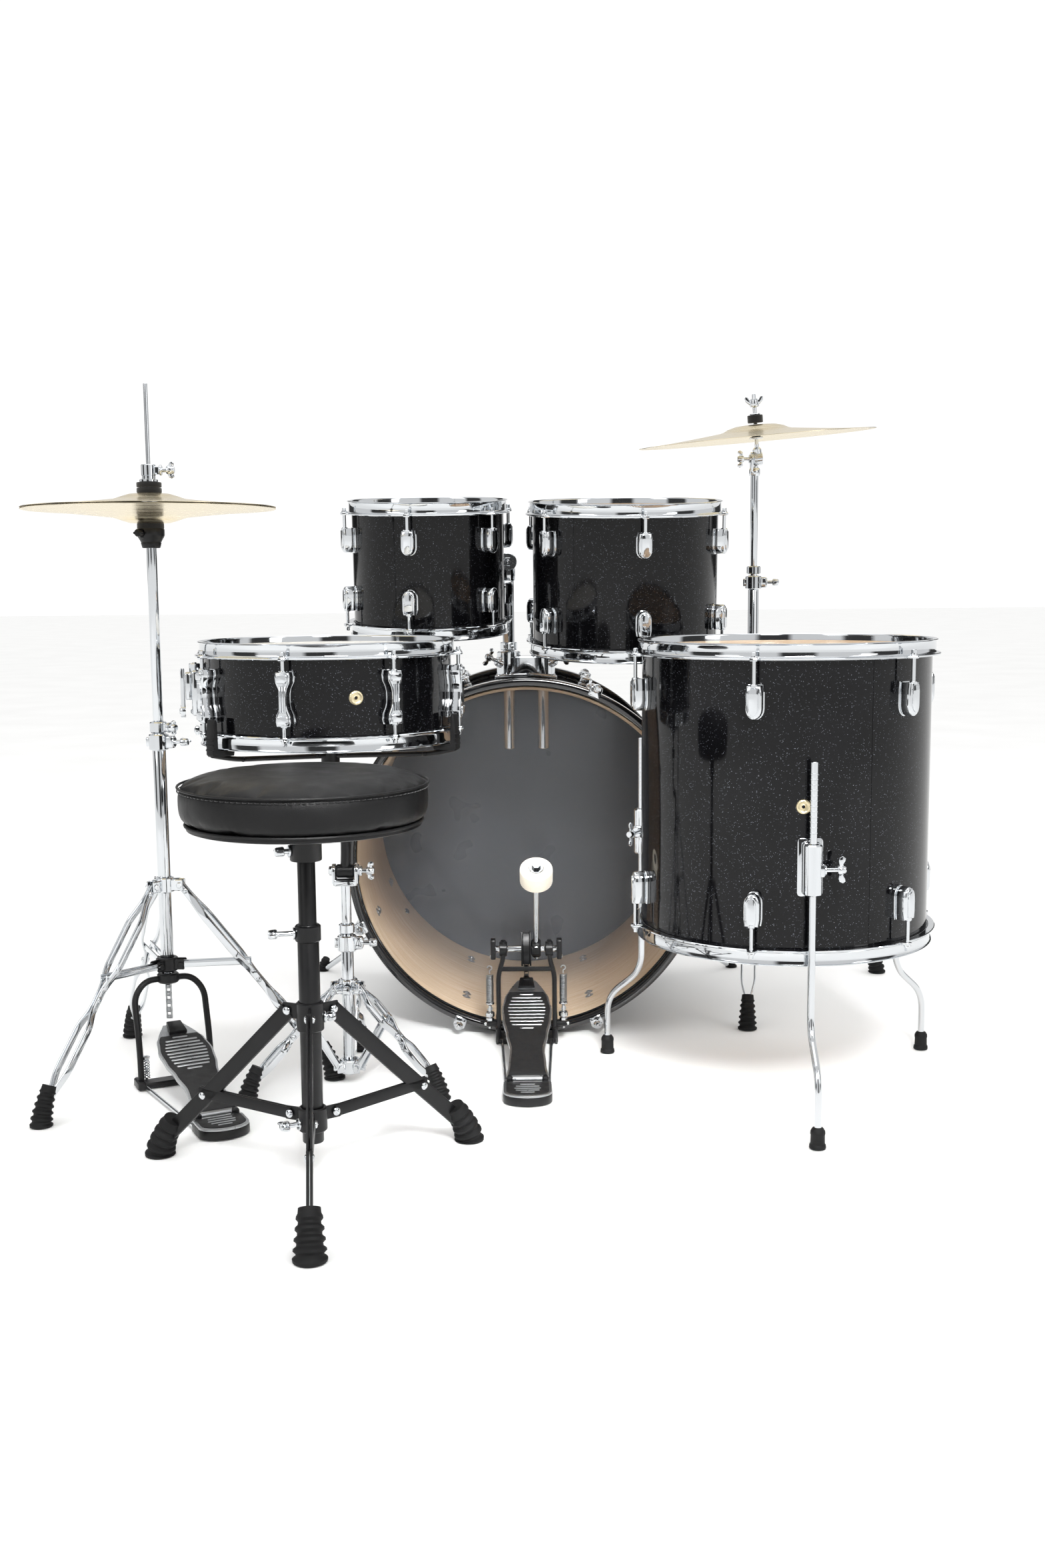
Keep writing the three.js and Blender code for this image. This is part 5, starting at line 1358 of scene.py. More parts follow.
def hihat_pull():
    """Pull rod with its roller chain down to the footboard."""
    place, form = at(*HIHAT_AT), Form()
    toe, chain_top = 91.0, 156.0
    rod(form, (0, 0, chain_top - 5), (0, 0, 1012), 3.0, 20)
    ring(form, 2.8, 6, chain_top - 6, chain_top + 4, 20, None, 0.8)
    link = Form()
    for side in PAIR:
        lie = at(side * 3.4, 0, 0) @ spin(90, "Y")
        outline = [(-8, 0), (-6.4, 2.8), (-4, 3.4), (0, 2.3), (4, 3.4), (6.4, 2.8), (8, 0), (6.4, -2.8),
                   (4, -3.4), (0, -2.3), (-4, -3.4), (-6.4, -2.8)]
        plate(link, outline, -0.8, 0.8, 0.3, lie, 1)
    for z in (-5, 5):
        rod(link, (-4.6, 0, z), (4.6, 0, z), 1.6, 10)
        ring(link, 1.5, 3.0, -2.4, 2.4, 12, at(0, 0, z) @ spin(90, "Y"), 0.4)
    links = path_copies(link, [(0, 0, toe + 7), (0, 0, chain_top - 10)], 5, 0, "silver", place)
    piece("hihat_pull_rod_and_chain", "hihat_rod", joined(placed(form, "chrome", place), links), "chrome",
          "hihat_pull_rod")


def crash_pieces():
    """Crash stand upper tube, tilter with its gear, felts, wing nut and the cymbal."""
    base = at(*CRASH_AT)
    pivot_z = 938.0
    neck = pivot_z - 13
    form = Form()
    tube(form, [(0, 0, 440), (0, 0, 441), (0, 0, neck - 2), (0, 0, neck)], 6.4, 28, base,
         scale=(0.9, 1, 1, 1))
    ring(form, 6.2, 12, 740, 754, 32, base, 1.6)
    turned(form, [(0, neck - 16), (8.4, neck - 16), (9.4, neck - 14), (9.4, neck - 5), (8, neck - 2.4),
                  (0, neck - 2.4)], 32, base)
    lie = base @ at(-5.2, 0, pivot_z) @ spin(90, "Y")
    plate(form, [(-12 * math.cos(a), 12 * math.sin(a)) for a in (math.radians(d) for d in range(-90, 91, 12))]
          + [(22, 8), (22, -8)], -2.0, 2.0, 0.8, lie)
    wing_bolt(form, base @ at(-7, 0, pivot_z) @ spin(-90, "Y"), 24, 30)
    piece("crash_upper_tube", "crash_tube", form, "chrome", "crash_tube")
    head = (base @ at(0, 0, pivot_z) @ spin(3, "X") @ spin(-4.5, "Y"))
    x, crown = 5.0, 58.0
    tilter, felts, gear = Form(), Form(), Form()
    rod(tilter, (-2.4, 0, 0), (13, 0, 0), 11.5, 32, soft=1.2)
    block(gear, (11.2, -0.9, -2.2), (12.6, 0.9, 2.2), 0.4)
    turned(tilter, [(0, 0), (7.4, 0), (7.4, 16), (5, 19), (3.4, 20), (3.2, 108), (2.4, 109.4), (0, 109.4)],
           24, at(x, 0, 0))
    for low, high, wide in ((crown - 24, crown - 21, 12), (crown + 16.4, crown + 18.6, 9)):
        turned(tilter, [(3.4, low), (wide - 0.8, low), (wide, low + 0.8), (wide, high - 0.8),
                        (wide - 0.8, high), (3.4, high)], 32, at(x, 0, 0), loop=True)
    turned(tilter, [(3.4, crown - 20.8), (8, crown - 20.8), (6.2, crown - 17), (6.2, crown - 3),
                    (3.4, crown - 3)], 24, at(x, 0, 0), loop=True)
    turned(tilter, [(3.2, 88), (7.2, 88), (7.8, 89), (6.6, 99), (5.4, 101.4), (3.2, 101.4)], 28,
           at(x, 0, 0), loop=True)
    for side in PAIR:
        outline = [(x + side * a, b) for a, b in ((4, 89), (9, 92), (14.6, 97), (16.4, 102), (14.6, 105.4),
                                                  (11, 104.6), (8, 100), (4, 98.6))]
        plate(tilter, outline, -2, 2, 1.1, spin(90, "X"), 2)
    teeth = round_copies(gear, 24, 0, "chrome", head @ at(1.5, 0, 0) @ spin(90, "Y"))
    piece("crash_tilter_assembly", "crash_tilter", joined(placed(tilter, "chrome", head), teeth), "chrome",
          "crash_tilter")
    for low, high in ((crown - 19, crown - 4.4), (crown + 3, crown + 16)):
        turned(felts, [(3.8 if low > crown else 6.4, low), (12.4, low), (13.2, low + 1), (13.2, high - 1),
                       (12.4, high), (3.8 if low > crown else 6.4, high)], 36, at(x, 0, 0), loop=True)
    piece("crash_felts", "crash_tilter", felts, "black_felt", place=head)
    cymbal_piece("crash_bronze_cymbal", "crash_cymbal", "crash_cymbal", 203.2, 56, 24, head @ at(x, 0, 34))


# ------------------------------------------------------------------ throne
def throne_base():
    """Throne column: collar, hub, clamps, flat black legs with their rivets, and rubber boots."""
    place, angles = at(*THRONE_AT), (156.3, 36.3, -83.7)
    column, bolts = Form(), Form()
    turned(column, [(11.2, 50), (12.4, 50), (13, 51), (13, 321), (12.4, 322), (11.2, 322)], 40, place,
           loop=True)
    ring(column, 12.8, 16.6, 190, 226, 40, place, 1.6)
    ring(column, 12.8, 17.6, 64, 94, 40, place, 1.8)
    ring(column, 12.8, 15.6, 301, 321, 40, place, 1.4)
    for angle in angles:
        spot = place @ at(turn=angle)
        for z, half in ((212, 9.5), (82, 8.5)):
            block(column, (13, -1.7, z - half), (38.5, 1.7, z + half), 0.8, spot)
            for side in PAIR:
                cross_screw(bolts, spot @ at(31, side * 4.0, z) @ spin(-90 * side, "X"), 5.2, 2.6)
    piece("throne_column", "kit_floor", column, "black", "throne_tube")
    wing_bolt(bolts, place @ facing(190, 15, 311), 34, 34)
    wing_bolt(bolts, place @ facing(205, 16.5, 74), 26, 32)
    wing_bolt(bolts, place @ facing(12, 16, 206), 16, 20)
    piece("throne_bolts", "kit_floor", bolts, "chrome")
    for index, angle in enumerate(angles, 1):
        spot = place @ at(turn=angle)
        legs, rivets, foot = Form(), Form(), Form()
        for side in PAIR:
            shift = side * 2.15
            flat_bar(legs, [(31, shift, 212), (122, shift, 121), (215, shift, 30)], 20, 3.2,
                     (0.7071, 0, 0.7071), spot)
            flat_bar(legs, [(31, shift, 82), (98, shift, 87), (165, shift, 92)], 14.5, 3.2, (0, 0, 1), spot)
            cross_screw(rivets, spot @ at(160, side * 3.8, 88) @ spin(-90 * side, "X"), 4.8, 2.2)
        boot(foot, spot, (231, 0), (208, 50), 20, 14, 5)
        piece(f"throne_leg_{index}_bars", "kit_floor", legs, "black", f"throne_leg_{index}")
        piece(f"throne_leg_{index}_rivets", "kit_floor", rivets, "chrome")
        piece(f"throne_leg_{index}_boot", "kit_floor", foot, "rubber")
    post = Form()
    tube(post, [(0, 0, 172), (0, 0, 173), (0, 0, 437), (0, 0, 438.6)], 10.8, 32, place,
         scale=(0.9, 1, 1, 0.9))
    piece("throne_inner_post", "throne_post", post, "black", "throne_post")


def throne_seat_pieces(seat):
    """Padded seat: simulated vinyl cushion with seam and stitches over a plate with its socket."""
    place = at(*THRONE_AT)
    radius, low, high = 147.5, 442.0, 503.0
    shrink = seat.start_smaller
    core = Form()
    turned(core, [(0, low + 6), (radius - 16, low + 6), (radius - 9 - shrink, low + 8),
                  (radius - 3 - shrink, low + 15), (radius - 1.5 - shrink, low + 28),
                  (radius - 1.5 - shrink, high - 20), (radius - 4.5 - shrink, high - 9),
                  (radius - 13 - shrink, high - 4), (radius - 30, high - 2.4), (radius * 0.5, high + 0.5),
                  (0, high + 1.5)], 96, place)
    mesh = core.mesh("vinyl")
    mesh.transform(KIT)
    cushion = bpy.data.objects.new("throne_cushion", mesh)
    bpy.context.scene.collection.objects.link(cushion)
    swell(cushion, seat)
    mesh.name = "throne_cushion"
    soften = cushion.modifiers.new("subdivision", "SUBSURF")
    soften.levels = soften.render_levels = 1
    cushion.data.shade_smooth()
    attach(cushion, "throne_seat")
    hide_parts("throne_seat")
    seam, stitch = Form(), Form()
    edge = radius + 0.8
    for out, z, thick in ((edge, high - 9.5, 1.5), (radius - 7, low + 6.5, 2.0)):
        tube(seam, [(x, y, z) for x, y in circle(out, 160)], thick, 8, place, closed=True)
    piece("throne_seat_piping", "throne_seat", seam, "vinyl")
    half = seat.stitch_length / 2
    tube(stitch, [(radius + 0.2, -half, high - 13.8), (radius + 1.1, -half * 0.7, high - 13.8),
                  (radius + 1.3, 0, high - 13.8), (radius + 1.1, half * 0.7, high - 13.8),
                  (radius + 0.2, half, high - 13.8)], 0.5, 6)
    count = int(math.tau * radius / (seat.stitch_length * 1.5))
    piece("throne_seat_stitches", "throne_seat", round_copies(stitch, count, 0, "black_felt", place), "vinyl")
    base = Form()
    turned(base, [(0, low + 4), (11.4, low + 4), (11.4, 400.4), (12, 400), (18.6, 400), (19.2, 401),
                  (19.2, 431), (21, 434), (60, 438), (64, 439), (64, 441), (radius - 12, 441.6),
                  (radius - 8, 443), (radius - 8, low + 7), (0, low + 7)], 96, place)
    piece("throne_seat_plate", "throne_seat", base, "black")
    under = Form()
    for k in range(4):
        cross_screw(under, place @ at(turn=45 + 90 * k) @ at(48, 0, 437.4) @ spin(180, "X"), 4.4, 2.4)
    wing_bolt(under, place @ facing(200, 18.6, 412), 20, 26)
    piece("throne_seat_screws", "throne_seat", under, "chrome")


CLOTH_FRAMES = 20
# how the vinyl cover moves while it is blown up: heavy and damped, so that it settles without creases
COVER = {"use_pressure": True, "mass": 1.0, "air_damping": 10.0, "bending_stiffness": 5.0,
         "shrink_min": -0.03}
CUSHION_FLOOR = 446.5  # the cushion never sags below this height, where its plate begins


def swell(cushion, seat):
    """Cloth pass: the cover is blown up against itself, and no point may travel past the cap."""
    scene = bpy.context.scene
    bpy.context.view_layer.objects.active = cushion
    cushion.select_set(True)
    remesh = cushion.modifiers.new("remesh", "REMESH")
    remesh.mode, remesh.voxel_size = "VOXEL", seat.voxel * MM
    bpy.ops.object.modifier_apply(modifier=remesh.name)
    before = [v.co.copy() for v in cushion.data.vertices]
    cloth = cushion.modifiers.new("cloth", "CLOTH")
    for key, value in {**COVER, "uniform_pressure_force": seat.pressure}.items():
        setattr(cloth.settings, key, value)
    cloth.settings.effector_weights.gravity = 0.0
    cloth.point_cache.frame_start, cloth.point_cache.frame_end = 1, CLOTH_FRAMES
    for step in range(1, CLOTH_FRAMES + 1):
        scene.frame_set(step)
    graph = bpy.context.evaluated_depsgraph_get()
    blown = cushion.evaluated_get(graph).to_mesh()
    after = [v.co.copy() for v in blown.vertices]
    cushion.evaluated_get(graph).to_mesh_clear()
    cushion.modifiers.remove(cloth)
    cap, floor = seat.travel_cap * MM, CUSHION_FLOOR * MM
    for vertex, old, new in zip(cushion.data.vertices, before, after):
        move = new - old
        if move.length > cap:
            move *= cap / move.length
        vertex.co = old + move
        vertex.co.z = max(vertex.co.z, floor)
    cushion.data.uv_layers.new(name="surface")
    scene.frame_set(1)
    cushion.select_set(False)


# ------------------------------------------------------------------ pedals
def board_half_width(t, grow=0.0):
    """Half width of a footboard along its length, from the heel hinge to the toe."""
    marks = ((0, 31), (0.1, 28), (0.26, 26), (0.42, 31.5), (0.56, 37), (0.68, 39), (0.8, 35), (0.9, 27),
             (0.96, 19), (1.0, 15))
    for (t0, w0), (t1, w1) in zip(marks, marks[1:]):
        if t <= t1:
            s = (t - t0) / (t1 - t0)
            s = s * s * (3 - 2 * s)
            return w0 + (w1 - w0) * s + grow
    return marks[-1][1] + grow


def board_outline(start, end, length, grow):
    """Closed outline of the part of a footboard between two shares of its length."""
    ts = [start + (end - start) * i / 28 for i in range(29)]
    right = [(board_half_width(t, grow), t * length) for t in ts]
    return right + [(-x, y) for x, y in reversed(right)]


def footboard_pieces(name, stands_for, body, place, hinge_y, toe_y, toe_z):
    """Cast footboard: silver frame, black insert with its row of slots, toe clamp and hinge."""
    hinge_z = 19.0
    slope = math.atan2(toe_z - hinge_z, toe_y - hinge_y)
    length = math.hypot(toe_z - hinge_z, toe_y - hinge_y)
    lie = place @ at(0, hinge_y, hinge_z) @ Matrix.Rotation(slope, 4, "X")
    cast, insert, bars, clamp = Form(), Form(), Form(), Form()
    plate(cast, board_outline(0.0, 1.0, length, 0), -3.5, 2.6, 1.3, lie, 2)
    plate(insert, board_outline(0.012, 0.86, length, -3.2), 2.2, 4.0, 0.7, lie, 2)
    for k in range(11):
        t = 0.47 + 0.036 * k
        y = t * length
        taper = math.sqrt(max(0.0, 1 - ((k - 5) / 6.2) ** 2))
        half = (board_half_width(t) - 9.5) * (0.62 + 0.38 * taper) * (0.55 if k in (0, 10) else 1)
        plate(bars, rounded(half * 2, 3.4, 1.6, 3), 3.5, 4.7, 0.4, lie @ at(0, y, 0), 1)
    top = length - 30
    plate(clamp, [(-13, top), (13, top), (10.5, length - 2), (-10.5, length - 2)], 2.0, 10.0, 2.0, lie, 2)
    plate(clamp, [(-9, length - 12), (9, length - 12), (7, length + 3), (-7, length + 3)], -6, 3, 1.2, lie, 1)
    rod(cast, place @ Vector((-31, hinge_y, hinge_z - 1)), place @ Vector((31, hinge_y, hinge_z - 1)), 3.4,
        20)
    piece(f"{name}_casting", body, cast, "silver", stands_for)
    piece(f"{name}_insert", body, insert, "pad")
    piece(f"{name}_slot_bars", body, bars, "silver")
    piece(f"{name}_toe_clamp", body, clamp, "black")


def heel_pieces(name, place, hinge_y, heel_y):
    """Heel block: black body, silver rim, and an insert with five bars."""
    front, half = hinge_y - 6, 35.0

    def outline(grow):
        h = half + grow
        arc = [(h * math.cos(a), heel_y + 24 + (24 + grow) * math.sin(a)) for a in
               (math.pi + math.pi * i / 20 for i in range(21))]
        return [(h, front + grow), (-h, front + grow)] + arc

    body, rim, insert, bars = Form(), Form(), Form(), Form()
    plate(body, outline(0), 0, 13, 1.6, place, 2)
    plate(rim, outline(-0.5), 12, 16.0, 1.2, place, 2)
    plate(insert, outline(-4.5), 15.4, 17.0, 0.6, place, 2)
    for k, wide in enumerate((20, 34, 38, 34, 22)):
        plate(bars, rounded(wide, 3.2, 1.5, 3), 16.4, 17.7, 0.4, place @ at(0, heel_y + 15 + 8.6 * k, 0), 1)
    for shift in (-26, 26):
        block(body, (shift - 5, front - 2, 8), (shift + 5, hinge_y + 5, 22.5), 2.2, place)
    piece(f"{name}_heel_block", "kit_floor", body, "black")
    piece(f"{name}_heel_rim", "kit_floor", rim, "silver")
    piece(f"{name}_heel_insert", "kit_floor", insert, "pad")
    piece(f"{name}_heel_bars", "kit_floor", bars, "silver")


def hihat_pedal_pieces():
    """Hi-hat pedal: round-rod bow, cross plate, spring adjuster, floor wires, heel and footboard."""
    place = at(HIHAT_AT[0], HIHAT_AT[1], 0, HIHAT_TURN)
    form, wires = Form(), Form()
    bow_top = 152.0
    path = bent([(-52, -30, 5), (-52, -27, 60), (-52, -4, bow_top - 22), (-34, 0, bow_top), (34, 0, bow_top),
                 (52, -4, bow_top - 22), (52, -27, 60), (52, -30, 5)], 26, 6)
    tube(form, path, 4.6, 20, place)
    ring(form, 7.6, 16, bow_top - 6, bow_top + 8, 32, place, 2)
    block(form, (-57, -42, 0), (57, -18, 9), 2.2, place)
    block(form, (-60, -46, 0), (-48, -14, 13), 2, place)
    block(form, (48, -46, 0), (60, -14, 13), 2, place)
    piece("hihat_pedal_bow", "kit_floor", form, "black", "hihat_pedal_frame")
    for side in PAIR:
        tube(wires, [(side * 31, -250, 6), (side * 31, -249, 6), (side * 50, -31, 5), (side * 50, -30, 5)],
             2.5, 12, place)
    coil = [Vector((-43 + 4.6 * math.cos(i * 0.52), -24 + 4.6 * math.sin(i * 0.52), 12 + i * 0.33))
            for i in range(84)]
    tube(wires, coil, 0.9, 8, place)
    rod(wires, place @ Vector((-43, -24, 9)), place @ Vector((-43, -24, 46)), 2.2, 14)
    nut(wires, place @ at(-43, -24, 0), 6.0, 5, 40)
    piece("hihat_pedal_wires_and_spring", "kit_floor", wires, "chrome")
    heel_pieces("hihat_pedal", place, -240, -300)
    footboard_pieces("hihat_board", "hihat_footboard", "hihat_footboard", place, -240, -18, 84)


def kick_frame_pieces():
    """Bass pedal frame: bowed posts, bearings, hoop clamp, springs with their hooks, floor wires."""
    place = at(-2.3, 0)
    shaft_y, shaft_z, gap = -40.0, 152.0, 43.5
    form, bright, springs = Form(), Form(), Form()
    for side in PAIR:
        path = bent([(side * (gap + 1), shaft_y, 0), (side * (gap + 1), shaft_y, 112),
                     (side * (gap - 7), shaft_y, 136), (side * (gap - 7), shaft_y, 165)], 16, 5)
        flat_bar(form, path, 17, 7.4, (0, 1, 0), place)
        bear = place @ at(side * (gap - 7), shaft_y, shaft_z) @ spin(90, "Y")
        turned(form, [(5.8, -6), (11, -6), (12, -5), (12, 5), (11, 6), (5.8, 6)], 28, bear, loop=True)
        block(form, (side * (gap - 1), shaft_y - 12, 0), (side * (gap + 6), -3, 26), 2, place)
        block(form, (side * gap, shaft_y - 6, 26), (side * (gap + 21), shaft_y + 6, 34), 2, place)
        outline = [(shaft_y - 15, 0), (-2, 0), (-2, 34), (-8, 44), (shaft_y, 44)]
        lie = place @ at(side * (gap + 3.4), 0, 0) @ Matrix(
            ((0, 0, 1, 0), (1, 0, 0, 0), (0, 1, 0, 0), (0, 0, 0, 1)))
        plate(form, outline, -2, 2, 0.8, lie, 1)
        x = side * (gap + 15)
        coil = [Vector((x + 5.2 * math.cos(i * 0.6), shaft_y + 5.2 * math.sin(i * 0.6), 66 + i * 0.232))
                for i in range(190)]
        tube(springs, coil, 0.95, 6, place)
        for z, way in ((112, 1), (64, -1)):
            hook = [Vector((x, shaft_y, z)), Vector((x, shaft_y, z + way * 5))]
            hook += [Vector((x + 3.6 * math.sin(a), shaft_y, z + way * (9 - 3.6 * math.cos(a)))) for a in
                     (math.radians(d) for d in range(0, 300, 30))]
            tube(springs, hook, 1.1, 8, place)
        rod(bright, place @ Vector((x, shaft_y, 22)), place @ Vector((x, shaft_y, 60)), 2.6, 14)
        nut(bright, place @ at(x, shaft_y, 0), 6, 5, 35)
        wing = place @ at(x, shaft_y, 44)
        turned(bright, [(0, -2), (6.6, -2), (7.2, -1), (7.2, 4), (6, 5.4), (0, 5.4)], 20, wing)
        ring(bright, 3.6, 6.8, 62, 65, 20, place @ at(x, shaft_y, 0), 0.6)
        rod(bright, place @ Vector((side * (gap + 9), shaft_y, 30)),
            place @ Vector((side * (gap + 24), shaft_y, 30)), 3, 14)
        tube(bright, [(side * 31, -293, 6), (side * 31, -292, 6), (side * 40, -41, 5), (side * 40, -40, 5)],
             2.5, 12, place)
    block(form, (-gap - 2, shaft_y - 13, 0), (gap + 2, -3, 8), 2, place)
    block(form, (-gap + 1, shaft_y - 8, shaft_z - 35), (gap - 1, shaft_y - 3, shaft_z - 28), 1.6, place)
    block(form, (-12, -22, 8), (12, -4, 18), 2.4, place)
    wing_bolt(bright, place @ at(0, -26, 14) @ spin(52, "X"), 18, 30)
    piece("kick_pedal_frame", "kit_floor", form, "black", "kick_frame")
    piece("kick_pedal_springs", "kit_floor", springs, "silver")
    piece("kick_pedal_bright_parts", "kit_floor", bright, "chrome")
    heel_pieces("kick_pedal", place, -283, -355)
    footboard_pieces("kick_board", "kick_footboard", "kick_footboard", place, -283, -16, 92)


def kick_chain_piece():
    """Roller chain from the toe of the footboard to the cam."""
    place = at(-2.3, 0)
    link = Form()
    for side in PAIR:
        lie = at(side * 3.0, 0, 0) @ spin(90, "Y")
        outline = [(-6, 0), (-4.8, 2.3), (-3, 2.7), (0, 1.8), (3, 2.7), (4.8, 2.3), (6, 0), (4.8, -2.3),
                   (3, -2.7), (0, -1.8), (-3, -2.7), (-4.8, -2.3)]
        plate(link, outline, -0.7, 0.7, 0.25, lie, 1)
    for z in (-3.6, 3.6):
        ring(link, 1.2, 2.3, -2.2, 2.2, 10, at(0, 0, z) @ spin(90, "Y"), 0.3)
    route = [(0, -22, 99), (0, -13, 101), (0, -9.5, 108), (0, -8.6, 120), (0, -8.6, 148)]
    piece("kick_pedal_chain", "kick_footboard", path_copies(link, smooth_path(route, 8), 9, 0, "black",
                                                            place), "black")
    anchor = Form()
    block(anchor, (-5, -30, 97.5), (5, -14, 101), 1, place)
    piece("kick_pedal_chain_anchor", "kick_footboard", anchor, "black", "kick_chain")


def kick_beater_pieces():
    """Beater shaft assembly: axle, rockers, cam, hub with its key screw, shaft and felt head."""
    place = at(-2.3, 0)
    y0, z0, gap = -40.0, 152.0, 43.5
    axle = place @ at(0, y0, z0) @ spin(90, "Y")
    bright, dark, felt = Form(), Form(), Form()
    turned(bright, [(0, -gap - 13), (4.4, -gap - 13), (5, -gap - 12.2), (5, gap + 12.2), (4.4, gap + 13),
                    (0, gap + 13)], 24, axle)
    for side in PAIR:
        lie = axle @ at(0, 0, side * (gap + 9))
        plate(dark, rounded(34, 15, 5), -4, 4, 1.6, lie, 2)
        cross_screw(bright, lie @ at(12, 0, side * 3.6) @ (
            Matrix() if side > 0 else spin(180, "X")), 3.2, 2)
    # cam: a sector that the chain wraps, with side cheeks
    for low, high, size in ((-8, -5.4, 28), (5.4, 8, 28), (-5.4, 5.4, 25)):
        arc = [(size * math.cos(a), size * math.sin(a)) for a in
               (math.radians(d) for d in range(-20, 171, 10))]
        plate(dark, arc + [(-12, -9), (0, -13), (12, -9)], low, high, 0.8, axle @ spin(15, "Z"), 1)
    turned(dark, [(5, 8), (10.6, 8), (11.4, 9), (11.4, 21), (10.6, 22), (5, 22)], 28, axle, loop=True)
    tilt = math.radians(90 + 36)
    way = Vector((0, math.cos(tilt), math.sin(tilt)))
    foot = Vector((16, y0, z0))
    head = foot + way * 170
    block_at = place @ along(foot, head)
    plate(dark, rounded(15, 15, 4), -14, 16, 2, block_at, 2)
    turned(bright, [(0, -22), (3.4, -22), (3.9, -21.4), (3.9, 188), (3.2, 189), (0, 189)], 20, block_at)
    key = place @ Matrix.Translation(foot) @ spin(62, "X")
    turned(bright, [(0, 5), (4.6, 5), (5, 6), (5, 9), (4, 10.5), (0, 10.5)], 20, key)
    block(bright, (-2.4, -2.4, 9), (2.4, 2.4, 15), 0.6, key)
    turned(felt, [(4.2, 156), (23.4, 156), (24.6, 157), (25, 159), (25, 181), (24.6, 183), (23.4, 184),
                  (4.2, 184)], 56, block_at, loop=True)
    for z in (184, 152.4):
        turned(bright, [(3.6, z), (10.8, z), (11.4, z + 0.6), (11.4, z + 1.8), (10.8, z + 2.4),
                        (3.6, z + 2.4)], 28, block_at, loop=True)
    nut(bright, block_at, 6.6, 4.6, 186.2)
    nut(bright, block_at, 6.6, 5, 147.4)
    piece("kick_beater_shaft", "kick_beater", bright, "chrome", "kick_beater")
    piece("kick_beater_cam", "kick_beater", dark, "black")
    piece("kick_beater_felt", "kick_beater", felt, "cream_felt")


# ------------------------------------------------------------------ stage
def soft_light(name, place, aim, size, power, spread=180):
    """Rectangular soft box aimed at a point."""
    data = bpy.data.lights.new(name, "AREA")
    data.shape, data.size, data.size_y = "RECTANGLE", size[0], size[1]
    data.energy, data.spread = power, math.radians(spread)
    made = bpy.data.objects.new(name, data)
    made.location = place
    made.rotation_euler = (Vector(aim) - Vector(place)).to_track_quat("-Z", "Y").to_euler()
    bpy.context.scene.collection.objects.link(made)
    return made


def make_stage(stage):
    """Pale floor, white studio surround, soft lights, and the camera at eye height."""
    half, low = 40.0, -0.0012
    mesh = bpy.data.meshes.new("floor")
    mesh.from_pydata([(-half, -half, low), (half, -half, low), (half, half, low), (-half, half, low)], [],
                     [(0, 1, 2, 3)])
    mesh.materials.append(FINISH["floor"])
    floor = bpy.data.objects.new("studio_floor", mesh)
    bpy.context.scene.collection.objects.link(floor)

    world = bpy.data.worlds.new("white_studio")
    bpy.context.scene.world = world
    world.use_nodes = True
    tree = world.node_tree
    tree.nodes.clear()
    way = node(tree, "ShaderNodeTexCoord").outputs["Generated"]
    parts = node(tree, "ShaderNodeSeparateXYZ", {0: way})
    # the room that polished parts mirror: pale walls with dark gaps between tall soft boxes
    turn = node(tree, "ShaderNodeMath", {0: parts.outputs[1], 1: parts.outputs[0]}, operation="ARCTAN2")
    bands = node(tree, "ShaderNodeMath", {0: turn.outputs[0], 1: 5.0}, operation="MULTIPLY")
    wave = node(tree, "ShaderNodeMath", {0: bands.outputs[0]}, operation="SINE")
    gaps = node(tree, "ShaderNodeMapRange", {"Value": wave.outputs[0], "From Min": -0.55, "From Max": -0.15,
                                             "To Min": stage.gap_level, "To Max": 1.0})
    rise = node(tree, "ShaderNodeMapRange", {"Value": parts.outputs[2], "From Min": 0.35, "From Max": 0.75})
    lift = node(tree, "ShaderNodeMix", {0: rise.outputs[0], 2: gaps.outputs[0], 3: 1.0}, data_type="FLOAT")
    room = node(tree, "ShaderNodeMath", {0: lift.outputs[0], 1: stage.room_level}, operation="MULTIPLY")
    white = (1.0, 1.0, 1.0, 1.0)
    mirrored = node(tree, "ShaderNodeBackground", {"Color": white, "Strength": room.outputs[0]})
    plain = node(tree, "ShaderNodeBackground", {"Color": white, "Strength": stage.backdrop_level})
    seen = node(tree, "ShaderNodeLightPath")
    pick = node(tree, "ShaderNodeMixShader", {0: seen.outputs["Is Glossy Ray"], 1: plain.outputs[0],
                                              2: mirrored.outputs[0]})
    node(tree, "ShaderNodeOutputWorld", {0: pick.outputs[0]})

    aim = (0, 0, 0.5)
    soft_light("key_left", (-3.2, -2.6, 2.6), aim, (1.6, 2.4), stage.key_power)
    soft_light("key_right", (3.4, -2.2, 2.2), aim, (1.0, 2.4), stage.key_power * 0.7)
    soft_light("overhead", (0, 0.2, 3.6), (0, 0.2, 0), (3.4, 3.4), stage.key_power * 1.2)
    # a fill aimed through the clear batter head onto the ply behind it
    soft_light("drum_fill", (0.35, -2.0, 1.75), (0.05, 0, 0.1), (0.9, 0.6), stage.key_power * 0.16, 30)
    bpy.context.scene.view_settings.view_transform = "Standard"

    camera = bpy.data.objects.new("camera", bpy.data.cameras.new("camera"))
    camera.data.sensor_width = 36.0
    camera.data.lens = stage.lens
    camera.data.clip_start, camera.data.clip_end = 0.05, 60.0
    camera.location = KIT @ Vector(CAMERA_AT)
    camera.rotation_mode = "QUATERNION"
    look = Matrix.Rotation(math.radians(90 - CAMERA_DOWN), 3, "X") @ Matrix.Rotation(
        math.radians(CAMERA_ROLL), 3, "Z")
    camera.rotation_quaternion = look.to_quaternion()
    bpy.context.scene.collection.objects.link(camera)
    bpy.context.scene.camera = camera


CAMERA_AT = (-5.8, -2450.0, 725.7)
CAMERA_DOWN, CAMERA_ROLL = 7.33, -0.51


